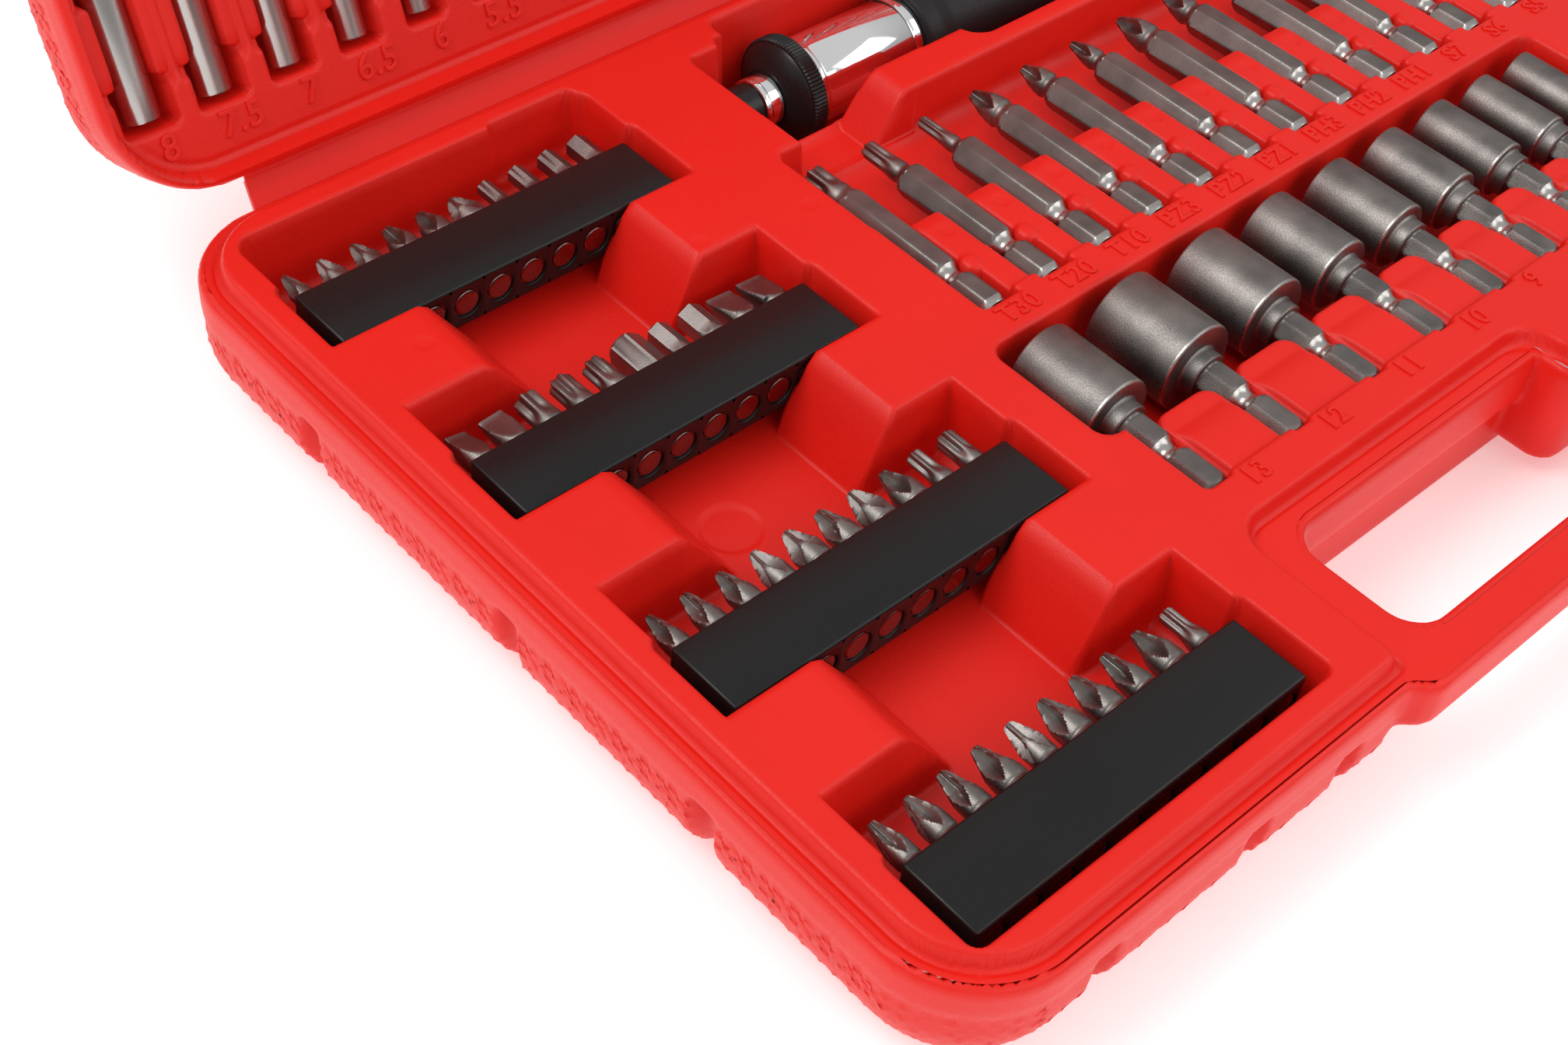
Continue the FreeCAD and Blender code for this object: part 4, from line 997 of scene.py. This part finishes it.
COLLAR = box_mm("driver_collar")
CAP = box_mm("driver_end_cap")
nose_x, bore = HOLDER[0][0], hex_radii(HEX, 3.5)
nose = COLLAR[1][0] - nose_x
turned("driver_nose", nose_x, [(3.8, 0.5), (3.8, bore), (0.5, bore), (0.15, 3.75), (0.0, 4.2), (0.0, 4.55),
                               (0.15, 4.95), (0.5, 5.2), (nose - 0.2, 5.2), (nose + 0.3, 4.35),
                               (nose + 1.5, 2.8), (BODY[1][0] - 9 - nose_x, 2.8)],
       black_ring, "driver_spindle", "driver_holder_steel", "driver_bit_holder", n=SAMPLES)
turned("driver_sleeve", COLLAR[1][0], [(0.2, 4.5), (0.0, 4.9), (0.0, 5.35), (0.2, 5.7), (0.4, 5.8), (1.0, 5.82),
                                       (1.12, 5.5), (1.35, 5.5), (1.47, 5.82), (4.4, 5.82), (4.7, 5.6),
                                       (4.8, 5.0), (4.6, 4.5)],
       chrome, "driver_spindle", "driver_chrome", "driver_collar", n=96)
ring_len = RING[1][0] - RING[0][0]
teeth, per = 90, 6
phase = np.arange(teeth * per) % per / per
bumps = 0.28 * (0.5 - 0.5 * np.cos(2 * math.pi * phase))
rim = 11.98
turned("driver_ring", RING[0][0], [(4.9, 3.8), (4.5, 4.2), (4.5, 6.5), (4.7, 6.9), (5.3, 8.2), (6.2, 9.7),
                                   (6.9, 10.6), (7.2, 10.95), (7.4, 11.1), (7.5, rim - 0.5 + bumps * 0.5),
                                   (7.9, rim - 0.3 + bumps), (ring_len - 0.9, rim - 0.3 + bumps),
                                   (ring_len - 0.5, rim - 0.6 + bumps * 0.4), (ring_len - 0.1, 11.0),
                                   (ring_len, 10.6), (ring_len, 4.2), (ring_len - 0.4, 3.8)],
       black_ring, "driver_ring", "driver_black", "driver_selector_ring", n=teeth * per, sharp=24)
blen = BODY[1][0] - BODY[0][0]
turned("driver_barrel", BODY[0][0], [(0.3, 3.2), (0.0, 3.6), (0.0, 8.9), (0.2, 9.3), (0.6, 9.5), (1.4, 9.55),
                                     (1.9, 9.3), (2.3, 9.3), (2.8, 9.57), (blen - 3.4, 9.57), (blen - 3.0, 9.35),
                                     (blen - 2.6, 9.35), (blen - 2.2, 9.57), (blen - 0.3, 9.5), (blen, 9.2),
                                     (blen, 1.0)],
       chrome, "driver", "driver_chrome", "driver_ratchet_body", n=128)
glen = GRIP[1][0] - GRIP[0][0]
grip_curve = [(0, 10.4), (0.15, 10.85), (0.6, 11.1), (2.5, 11.45), (4, 11.55), (6, 10.9), (9, 9.85), (12, 9.85),
              (18, 10.6), (26, 11.75), (34, 12.6), (44, 12.95), (55, 13.0), (65, 12.85), (74, 12.4), (80, 11.6),
              (86, 10.2), (glen - 1.5, 7.2), (glen - 0.2, 5.6)]
grip_n = 192
flute = 0.9 * np.maximum(0, np.cos(6 * np.arange(grip_n) * 2 * math.pi / grip_n)) ** 6
stations = [(0.0, 1.0), (0.0, 10.2)]
for s in np.linspace(0.0, glen, 150):
    fade = ramp(s, 20, 26) * (1 - ramp(s, 70, 76))
    stations.append((s, np.interp(s, *zip(*grip_curve)) - fade * flute))
stations += [(glen, 5.15), (glen - 0.5, 4.95), (glen - 12, 4.9)]
turned("driver_handle", GRIP[0][0], stations, rubber, "driver", "driver_rubber", "driver_grip", n=grip_n, sharp=50)
cap_len = CAP[1][0] - CAP[0][0]
turned("driver_cap", CAP[0][0], [(0.0, 4.0), (0.3, 4.6), (cap_len - 1.0, 4.85), (cap_len - 0.35, 4.5),
                                 (cap_len - 0.05, 3.6), (cap_len, 3.0), (cap_len - 0.25, 2.6), (cap_len - 0.25, 0.4)],
       black_ring, "driver", "driver_rubber", "driver_end_cap", n=64)


# ---- sockets and extension bar
SOCKET_SIZES = [[13, 12, 11, 10], [9, 8, 7, 6], [5.5, 5, 4.5, 4]]
square = np.minimum(HEX / 2 / np.cos(wing_angle(THETA)), 4.3)      # 1/4 inch square drive
for k, (lo, hi) in enumerate(SOCKET_BOXES):
    bundle = Bundle()
    for col, size in enumerate(SOCKET_SIZES[k]):
        r = max(size + 4.0, 11.0) / 2
        x = 156.5 + (col - 1.5) * 75.0 / 4
        length = hi[1] - lo[1]
        bore = size / math.sqrt(3)
        rim = min(bore + 0.3, r - 0.4)
        stations = [(9.0, 0.5), (9.0, square), (0.4, square),
                    (0.0, np.minimum(square + 0.35, r - 0.9)), (0.0, r - 0.5),
                    (0.2, r - 0.15), (0.5, r), (7.0, r), (7.2, r - 0.25), (7.7, r - 0.3), (8.2, r - 0.25), (8.4, r),
                    (length - 0.6, r), (length - 0.2, r - 0.12), (length, r - 0.45), (length, rim),
                    (length - 0.5, hex_radii(size, bore)), (length - 11, hex_radii(size, bore)),
                    (length - 11.8, size * 0.3)]
        bundle.add(*shaft(stations, (x, lo[1], lo[2] + r), (0, 1, 0)))
    bundle.make(f"socket_row_{k + 1}_set", satin_chrome, f"socket_row_{k + 1}", slot="socket_chrome",
                replaces=(f"socket_row_{k + 1}",), sharp=32)
lo, hi = EXTENSION
length = hi[0] - lo[0]
stations = [(9.0, 0.5), (9.0, square), (0.4, square), (0.0, square + 0.4), (0.0, 5.5), (0.3, 5.85), (0.7, 6.0),
            (10.0, 6.0), (10.3, 5.7), (11.3, 5.7), (11.6, 6.0), (14.5, 6.0), (16.0, 5.4), (16.6, 4.25),
            (length - 13, 4.2), (length - 9.6, 4.2), (length - 9.0, np.minimum(square, 4.0)), (length - 8.6, square),
            (length - 1.0, square), (length - 0.3, square - 0.35), (length, square - 0.8)]
verts, faces = shaft(stations, (lo[0], (lo[1] + hi[1]) / 2, (lo[2] + hi[2]) / 2), (1, 0, 0))
add_mesh("extension_rod", verts, faces, satin_chrome, "extension_bar", slot="socket_chrome",
         replaces=("extension_bar",), sharp=32)


# ---- lid: worked out shut, its deck looking down, then turned open
LID_DEPTH = 3.3                              # the lid's deck below its rim
LID_DECK = HALF_HEIGHT - LID_DEPTH
LID_T, LID_Z = wall_profile(LID_DEPTH, 0.3, 0.8, 0.9)
LID_GROW = 0.9                                # the lid's hollow clears the raised deck of the base
# (size, length) of every tool in the lid
TWIST_LENGTHS = [(8, 117), (7.5, 109), (7, 109), (6.5, 101), (6, 93), (5.5, 93), (5, 86), (4.5, 80), (4, 75),
                 (3.5, 70), (3, 61), (2.5, 57), (2, 49), (1.5, 40), (1, 34)]
MASONRY_LENGTHS = [(10, 95), (8, 90), (6, 85), (5, 80), (4, 75)]
SPADE_LENGTHS = [(20, 120), (16, 115), (12, 110)]
FIRST_LO, FIRST_HI = closed_box("twist_drills_large")
DRILL_SHIFT = 2.0                             # shanks end a little before the solids do
SHANK_END = FIRST_HI[1] - DRILL_SHIFT
SHANK_SHARE = 0.46
TWIST, MASONRY, SPADES = ([(size, length - DRILL_SHIFT) for size, length in group]
                         for group in (TWIST_LENGTHS, MASONRY_LENGTHS, SPADE_LENGTHS))
TWIST_X = [FIRST_LO[0] + 4.0 + 15.0 * k for k in range(15)]
MASONRY_X = [closed_box("masonry_drills")[0][0] + 5.0 + 17.0 * k for k in range(5)]
SPADE_LO, SPADE_HI = closed_box("spade_bits")
SPADE_X = [SPADE_LO[0] + 10.0 + 25.0 * k for k in range(3)]


def lid_ground(x, y):
    inside = -sd_deck(x, y, LID_GROW)
    h = HALF_HEIGHT + np.interp(inside, LID_T, LID_Z)
    groove = np.maximum(0, 1 - ((inside - 1.6) / 0.8) ** 2)
    return h - 0.35 * groove * groove


lid = Relief(lid_ground)
LID_RIM = LEDGE - LID_GROW
EDGE_LINES = np.linspace(-0.7, 1.8, 11)
lid.note((-CASE_HALF + LID_RIM, CASE_HALF - LID_RIM, FRONT + LID_RIM, BACK - LID_RIM), 1.0, EDGE_LINES, 1)
lid.note((-NOTCH_HALF + LID_GROW, NOTCH_HALF - LID_GROW, -150, NOTCH_BACK - LID_GROW), 1.0, EDGE_LINES, -1)
lid.hollow(NUT_X[0] - 11, NUT_X[-1] + 8, -37.5, -8.5, LID_DECK - 5.2, top=LID_DECK, r=4.0)


def shank_radius(size):
    return size * (SHANK_SHARE if size > 3 else 0.5)


def drill_bed(x, size, length, shank_r):
    """Shallow trough, deep slot, and two ribs that hold the shank."""
    r = max(size / 2, shank_r)
    floor = LID_DECK - 0.4 - size - 0.3
    end, tip = SHANK_END + 1.5, SHANK_END - length
    lid.hollow(x - r - 3.3, x + r + 3.3, tip - 4.5, SHANK_END - 4.5, LID_DECK - 1.5, top=LID_DECK, r=3.0, draft=0.5,
               r_top=1.6, r_bottom=0.8)
    lid.hollow(x - r - 1.5, x + r + 1.5, tip - 3.0, end, floor, top=LID_DECK, r=1.4, draft=0.03, r_top=0.8)
    for side in (-1, 1):
        near, far = x + side * (shank_r + 0.25), x + side * (r + 2.8)
        lid.block(min(near, far), max(near, far), SHANK_END - 23.0, SHANK_END - 7.5, LID_DECK - 0.55,
                  floor, r=1.1, draft=0.03, r_top=0.7, r_bottom=0.5)


for x, (size, length) in zip(TWIST_X, TWIST):
    drill_bed(x, size, length, shank_radius(size))
for x, (size, length) in zip(MASONRY_X, MASONRY):
    drill_bed(x, size, length, size * 0.43)
for x, (width, length) in zip(SPADE_X, SPADES):
    lid.hollow(x - width / 2 - 1.5, x + width / 2 + 1.5, SHANK_END - length - 3, SHANK_END - length + 34,
               LID_DECK - 8.4, top=LID_DECK, r=3.0, r_top=1.2)
    lid.hollow(x - 4.6, x + 4.6, SHANK_END - length, SHANK_END + 1.5, LID_DECK - 8.4, top=LID_DECK, r=1.5, r_top=1.0)
for cx, cy in ((TWIST_X[2] + 7.4, SHANK_END - 21.0), (MASONRY_X[1] + 8.5, SHANK_END - 21.0)):
    lid.dish(cx, cy, 2.3, 0.16)


ON_LID = {"material": red, "body": "lid", "slot": "red_lid", "replaces": ("case_lid",), "matrix": OPENING}


def lid_mesh(name, verts, faces, **more):
    """Turns a half's points over, onto the open lid."""
    verts = np.array(verts, float)
    verts[:, 2] = LID_TOP - verts[:, 2]
    return add_mesh(name, verts, faces, flip=True, **ON_LID, **more)


LID_TILES = [(-205.0, 0.0, 62.0, 104.0), (0.0, 205.0, 62.0, 104.0), (-205.0, 0.0, -107.0, 62.0),
             (0.0, 205.0, -107.0, 62.0)]
lid.finest = 0.4
lid_top = lid.tiles(LID_TILES,
                    lines_between((-206, -186, 0.5), (186, 206, 0.5), (-110, -88, 1.0), (88, 110, 1.0)),
                    lines_between((-107, -84, 1.0), (-84, -62, 1.0), (84, 104, 0.5)))
lid_mesh("lid_deck", np.vstack(lid_top.verts), lid_top.faces)
lid_mesh("lid_shell", shell_verts, shell_faces, sharp=60)
hook = ((-79.4, 37.4), (-81.0, 37.6), (-81.8, 38.4), (-81.8, 39.6), (-81.4, 40.0), (-79.4, 40.0))
add_mesh("lid_catch", [(x, y, z) for x in (-10, 10) for y, z in hook],
         [(0, 1, 2, 3, 4, 5), (11, 10, 9, 8, 7, 6)] + [(k, k + 6, (k + 1) % 6 + 6, (k + 1) % 6) for k in range(6)],
         **ON_LID, sharp=30)


# ---- drills
def fluted(r, length, shank_r, shank_len, n=48):
    """Twist drill: plain shank, two helical flutes, point at the end."""
    theta = np.arange(n) * 2 * math.pi / n
    chamfer = min(0.6, shank_r * 0.3)
    stations = [(0.0, shank_r - chamfer), (chamfer * 0.6, shank_r - 0.1 * chamfer), (chamfer, shank_r)]
    shoulder = max(shank_r - r, r - shank_r) * 0.8 + 0.2
    stations += [(shank_len - shoulder, shank_r), (shank_len, r)]
    point = r * 0.6
    lead = 2 * math.pi / (r * 6.2)
    steps = int((length - shank_len - point) / max(0.45, r * 0.2))
    for s in np.linspace(shank_len + 0.3, length - point, steps):
        start = ramp(s, shank_len, shank_len + 2.4 * r)
        phi = np.mod(theta - lead * s, math.pi)
        d = np.abs(phi - math.pi / 2)
        cut = 0.62 * start * (0.5 + 0.5 * np.cos(np.clip(d / 0.95, 0, 1) * math.pi))
        land = np.where((phi - math.pi / 2 > 0.95) & (phi - math.pi / 2 < 1.2), 0.0, 0.035 * start)
        stations.append((s, r * (1 - np.maximum(cut, land))))
    last = stations[-1][1]
    for t in (0.35, 0.7, 0.97):
        stations.append((length - point + point * t, last * (1 - t) + 0.02))
    return stations


def drill_set(name, first, last):
    bundle = Bundle()
    for k in range(first, last):
        size, length = TWIST[k]
        z = LID_TOP - (LID_DECK - 0.4 - size / 2)
        n = 64 if size > 5 else 40
        bundle.add(*shaft(fluted(size / 2, length, shank_radius(size), length * 0.36, n), (TWIST_X[k], SHANK_END, z),
                          (0, -1, 0), n=n, turn=float(RNG.uniform(0, 6))))
    bundle.make(name + "_set", drill_steel, name, slot="drill_steel", replaces=(name,), matrix=OPENING, sharp=35)


drill_set("twist_drills_large", 0, 5)
drill_set("twist_drills_medium", 5, 10)
drill_set("twist_drills_small", 10, 15)

rods, tips = Bundle(), Bundle()
for x, (size, length) in zip(MASONRY_X, MASONRY):
    r, z = size / 2, LID_TOP - (LID_DECK - 0.4 - size / 2)
    stations = fluted(r * 0.86, length - 5.5, r * 0.86, length * 0.4, 40)[:-3]
    rods.add(*shaft(stations, (x, SHANK_END, z), (0, -1, 0), n=40))
    y0, y1, t, w = SHANK_END - length + 7, SHANK_END - length, r * 0.26, r * 0.98
    outline = [(x - w, y0), (x + w, y0), (x + w, y1 + r * 0.7), (x + 0.2, y1), (x - 0.2, y1), (x - w, y1 + r * 0.7)]
    tips.add([(px, py, z - t) for px, py in outline] + [(px, py, z + t) for px, py in outline],
             [(5, 4, 3, 2, 1, 0), (6, 7, 8, 9, 10, 11)]
             + [(k, (k + 1) % 6, (k + 1) % 6 + 6, k + 6) for k in range(6)])
for bundle, name, steel, sharp in ((rods, "masonry_rods", drill_steel, 35), (tips, "masonry_tips", carbide, 30)):
    bundle.make(name, steel, "masonry_drills", slot="masonry_steel", replaces=("masonry_drills",),
                matrix=OPENING, sharp=sharp)

spades = Bundle()
for x, (width, length) in zip(SPADE_X, SPADES):
    z = (SPADE_LO[2] + SPADE_HI[2]) / 2
    hexa = chamfered_start() + [(24.0, hex_radii(HEX)), (24.8, hex_radii(HEX, 3.1)), (25.0, 2.55),
                                (length - 33.0, 2.55), (length - 31.0, 2.3)]
    spades.add(*shaft(hexa, (x, SHANK_END, z), (0, -1, 0)))
    half, start, t = width / 2 - 0.05, SHANK_END - length + 32.0, 1.15
    outline = [(x - 2.4, start + 2.2), (x + 2.4, start + 2.2), (x + half - 1.5, start - 1.5), (x + half, start - 3.0),
               (x + half, start - 25.5), (x + half - 0.6, start - 24.2), (x + 2.6, start - 24.0), (x, start - 31.9),
               (x - 2.6, start - 24.0), (x - half + 0.6, start - 24.2), (x - half, start - 25.5),
               (x - half, start - 3.0), (x - half + 1.5, start - 1.5)]
    n = len(outline)
    inner = [(x + (px - x) * 0.94, start - 12 + (py - start + 12) * 0.97) for px, py in outline]
    rings = [[(px, py, z - t) for px, py in inner], [(px, py, z - t * 0.6) for px, py in outline],
             [(px, py, z + t * 0.6) for px, py in outline], [(px, py, z + t) for px, py in inner]]
    spades.add(sum(rings, []), ring_faces(4, n) + [tuple(range(n))[::-1], tuple(range(3 * n, 4 * n))])
spades.make("spade_bits_set", drill_steel, "spade_bits", slot="spade_steel", replaces=("spade_bits",), matrix=OPENING,
            sharp=30)


# ---- hinge strip and its two thin folds
FOLD_Y = JOINTS["strip_fold"]["pos_m"][1] / MM
FOLD_Z = JOINTS["strip_fold"]["pos_m"][2] / MM
STRIP_WIDTH = 7.3


ON_HINGE = {"material": red_gloss, "slot": "red_hinge", "replaces": ("hinge_strip",), "sharp": 60}


def film(rows, halves, thick, steps):
    """A thin closed sheet: rows are (y, z, ny, nz) across it, with half lengths at both edges."""
    verts = []
    for side in (1, -1):
        for k, (y, z, ny, nz) in enumerate(rows):
            half = halves[0] + (halves[1] - halves[0]) * k / (len(rows) - 1)
            for i in range(steps + 1):
                verts.append((-half + 2 * half * i / steps, y + ny * side * thick / 2, z + nz * side * thick / 2))
    w, count = steps + 1, len(rows) * (steps + 1)
    faces = []
    for k in range(len(rows) - 1):
        for i in range(steps):
            a = k * w + i
            faces.append((a, a + 1, a + w + 1, a + w))
            faces.append(tuple(count + v for v in (a, a + w, a + w + 1, a + 1)))
    rim = (list(range(w)) + [k * w + steps for k in range(1, len(rows))]
           + [(len(rows) - 1) * w + i for i in range(steps - 1, -1, -1)]
           + [k * w for k in range(len(rows) - 2, 0, -1)])
    faces += [(a, count + a, count + b, b) for a, b in zip(rim, rim[1:] + rim[:1])]
    return verts, faces


strip_rows = []
for t in np.linspace(0.06, 0.94, 9):
    bow = 0.12 * math.sin(math.pi * t)
    strip_rows.append((FOLD_Y + bow, FOLD_Z + STRIP_WIDTH * t, 1, 0))
add_mesh("hinge_band", *film(strip_rows, (184.0, 182.6), 1.05, 46), body="hinge_strip", matrix=STRIP_OPENING,
         **ON_HINGE)


def opened(y, z, matrix=STRIP_OPENING):
    """Where a point of the closed case is when it stands open."""
    p = np.array(matrix) @ np.array([0, y * MM, z * MM, 1])
    return p[1] / MM, p[2] / MM


def fold(name, start, end):
    """Film across a fold, fixed where it lies with the case open, on neither body."""
    direction = np.array(end) - np.array(start)
    span = np.linalg.norm(direction)
    direction /= span
    rows = []
    for t in np.linspace(0, 1, 9):
        p = np.array(start) + direction * span * t
        rows.append((p[0], p[1], direction[1], -direction[0]))
    verts, faces = film(rows, (182.4, 182.4), 0.6, 40)
    ob = add_mesh(name, verts, [f[:1] + f[:0:-1] for f in faces], body=None, **ON_HINGE)
    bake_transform(ob)


fold("fold_at_base", (BACK - 0.8, FOLD_Z + 0.2), (FOLD_Y + 0.55, FOLD_Z + 0.15))
fold("fold_at_lid", opened(BACK - 0.8, FOLD_Z + STRIP_WIDTH - 0.2, OPENING),
     opened(FOLD_Y, FOLD_Z + STRIP_WIDTH - 0.55))


# ---- latch
LATCH_TURN = turn_about("latch_swing", JOINTS["latch_swing"]["range_deg"][0]).inverted()
PIVOT_Y, PIVOT_Z = (v / MM for v in JOINTS["latch_swing"]["pos_m"][1:])
PROFILE = [(2.0, 0.0), (1.4, 1.4), (1.2, 4.0), (1.2, 27.8), (2.9, 28.4), (3.3, 28.6), (3.3, 30.4), (2.9, 30.9),
           (-1.2, 30.9), (-3.2, 30.9), (-3.9, 30.6), (-3.9, 29.6), (-3.4, 29.2), (-1.6, 28.6), (-1.15, 26.0),
           (-0.95, 15.0), (-1.15, 4.0), (-1.6, 1.2), (-2.0, 0.0), (-1.4, -1.4), (0.0, -2.0), (1.4, -1.4)]
half_steps = [(-12.0, 0.35), (-11.9, 0.15), (-11.6, 0.0), (11.6, 0.0), (11.9, 0.15), (12.0, 0.35)]
rings = []
for x, inset in half_steps:
    for dy, dz in PROFILE:
        length = math.hypot(dy, dz - 14.0)
        shrink = 1 - inset / max(length, 1.0)
        rings.append((x, PIVOT_Y + dy * (1 - inset * 0.12), PIVOT_Z + 14.0 + (dz - 14.0) * shrink))
n = len(PROFILE)
flap_faces = [f[::-1] for f in ring_faces(len(half_steps), n)] + [tuple(range(n)), tuple(range(5 * n, 6 * n))[::-1]]
add_mesh("latch_flap", rings, flap_faces, red, "latch", slot="red_latch", replaces=("latch",), matrix=LATCH_TURN,
         sharp=28)
ears = Bundle()
for side in (-1, 1):
    x0, x1 = sorted((side * 12.4, side * 15.4))
    ring = rounded_rect(PIVOT_Y - 2.2, -77.5, PIVOT_Z - 2.4, PIVOT_Z + 2.4, 0.0, 2.0)
    soft = rounded_rect(PIVOT_Y - 2.2, -77.5, PIVOT_Z - 2.4, PIVOT_Z + 2.4, 0.3, 1.7)
    layers = [(x0, soft), (x0 + 0.3, ring), (x1 - 0.3, ring), (x1, soft)]
    m = len(ring)
    pts = [(x, y, z) for x, pairs in layers for y, z in pairs]
    ears.add(pts, ring_faces(4, m) + [tuple(range(m))[::-1], tuple(range(3 * m, 4 * m))])
ears.make("latch_ears", **ON_BASE, sharp=30)


# ---- raised numbers and letters
def label_shape(text, height, raised):
    """Rounded raised characters, centred, x along the text and y up, in millimetres."""
    curve = bpy.data.curves.new("text", "FONT")
    curve.body = text
    curve.size = height / 0.69
    curve.align_x, curve.align_y = "CENTER", "CENTER"
    curve.extrude = raised
    curve.bevel_depth = 0.2
    curve.bevel_resolution = 2
    curve.offset = -0.05
    curve.resolution_u = 4
    curve.space_character = 1.06
    ob = bpy.data.objects.new("text", curve)
    bpy.context.scene.collection.objects.link(ob)
    bpy.context.view_layer.update()
    mesh = bpy.data.meshes.new_from_object(ob.evaluated_get(bpy.context.evaluated_depsgraph_get()))
    verts = np.array([v.co for v in mesh.vertices])
    faces = [tuple(p.vertices) for p in mesh.polygons]
    bpy.data.objects.remove(ob)
    bpy.data.curves.remove(curve)
    bpy.data.meshes.remove(mesh)
    return verts, faces


POWER_LABELS = ["T30", "T20", "T10", "PZ3", "PZ2", "PZ1", "PH3", "PH2", "PH1", "S7", "S6", "S5", "S4"]
letters = Bundle()
for x, text in zip(POWER_X, POWER_LABELS):
    verts, faces = label_shape(text, 4.0, 0.28)
    letters.add(verts + (x + 1.5, POWER_TAIL - 4.0, DECK - 0.05), faces)
for x, size in zip(NUT_X, NUT_SIZES):
    verts, faces = label_shape(str(size), 4.0, 0.28)
    letters.add(verts + (x + 5.4, NUT_TAIL - 3.2, DECK - 0.05), faces)
letters.make("base_labels", **ON_BASE, sharp=40)
letters = Bundle()
for x, (size, _) in [*zip(TWIST_X, TWIST), *zip(MASONRY_X, MASONRY), *zip(SPADE_X, SPADES)]:
    verts, faces = label_shape(f"{size:g}", 4.9, 0.4)
    letters.add(verts * (1, -1, -1) + (x + 1.7, SHANK_END + 5.3, LID_TOP - LID_DECK + 0.05), faces)
letters.make("lid_labels", **ON_LID, sharp=40)


# ---- every CAD node that still shows gets a material
CAD_LOOKS = {"latch_pin": satin_chrome}
for node, ob in frame["nodes"].items():
    ob.data.materials.clear()
    ob.data.materials.append(CAD_LOOKS.get(node, bit_steel))

# ---- camera, floor and light
camera_data = bpy.data.cameras.new("camera")
FOCAL, PHOTO_WIDTH = 2828.03, 2016            # recovered from the photo, in its pixels
camera_data.sensor_width = 36.0
camera_data.lens = FOCAL / PHOTO_WIDTH * camera_data.sensor_width
camera = bpy.data.objects.new("camera", camera_data)
bpy.context.scene.collection.objects.link(camera)
right = Vector((0.73729, -0.6705, 0.08272))
down = Vector((-0.44937, -0.57815, -0.68104))
ahead = Vector((0.50446, 0.46495, -0.72756))
at = Vector((-0.34323, -0.18344, 0.289))
camera.matrix_world = Matrix((*zip(right, -down, -ahead, at), (0, 0, 0, 1)))
bpy.context.scene.camera = camera

floor_material, _, floor_shader = new_material("white_floor", (0.93, 0.93, 0.93), 0.0, 0.9)
floor_shader.inputs["Emission Color"].default_value = (1, 1, 1, 1)
floor_shader.inputs["Emission Strength"].default_value = 0.34
floor_mesh = bpy.data.meshes.new("floor")
FLOOR_HALF = 40.0
corners = [(x * FLOOR_HALF, y * FLOOR_HALF, 0) for x, y in ((-1, -1), (1, -1), (1, 1), (-1, 1))]
floor_mesh.from_pydata(corners, [], [(0, 1, 2, 3)])
floor_mesh.materials.append(floor_material)
floor = bpy.data.objects.new("floor", floor_mesh)
bpy.context.scene.collection.objects.link(floor)

HORIZON = 0.42                               # the sky is darker here than overhead
world = bpy.data.worlds.new("studio")
bpy.context.scene.world = world
world.use_nodes = True
sky = world.node_tree.nodes
coords = sky.new("ShaderNodeTexCoord")
split = sky.new("ShaderNodeSeparateXYZ")
world.node_tree.links.new(coords.outputs["Generated"], split.inputs["Vector"])
shade = color_between(world.node_tree, split.outputs["Z"], (HORIZON,) * 3, (1, 1, 1), 0.0, 0.75)
world.node_tree.links.new(shade, sky["Background"].inputs["Color"])
sky["Background"].inputs["Strength"].default_value = 0.66


def area_light(name, place_at, aim, size_x, size_y, watts):
    data = bpy.data.lights.new(name, "AREA")
    data.shape = "RECTANGLE"
    data.size, data.size_y, data.energy = size_x, size_y, watts
    lamp = bpy.data.objects.new(name, data)
    bpy.context.scene.collection.objects.link(lamp)
    lamp.location = place_at
    lamp.rotation_euler = (Vector(aim) - Vector(place_at)).to_track_quat("-Z", "Y").to_euler()


area_light("key", (-0.9, 0.5, 1.3), (0, 0, 0), 0.9, 0.9, 11.0)
area_light("front", (-0.2, -1.1, 0.75), (0, 0.1, 0.08), 0.9, 0.5, 2.6)
area_light("fill", (0.9, -0.9, 1.0), (0, 0, 0), 1.2, 0.8, 5.0)
bpy.context.scene.view_settings.view_transform = "Standard"
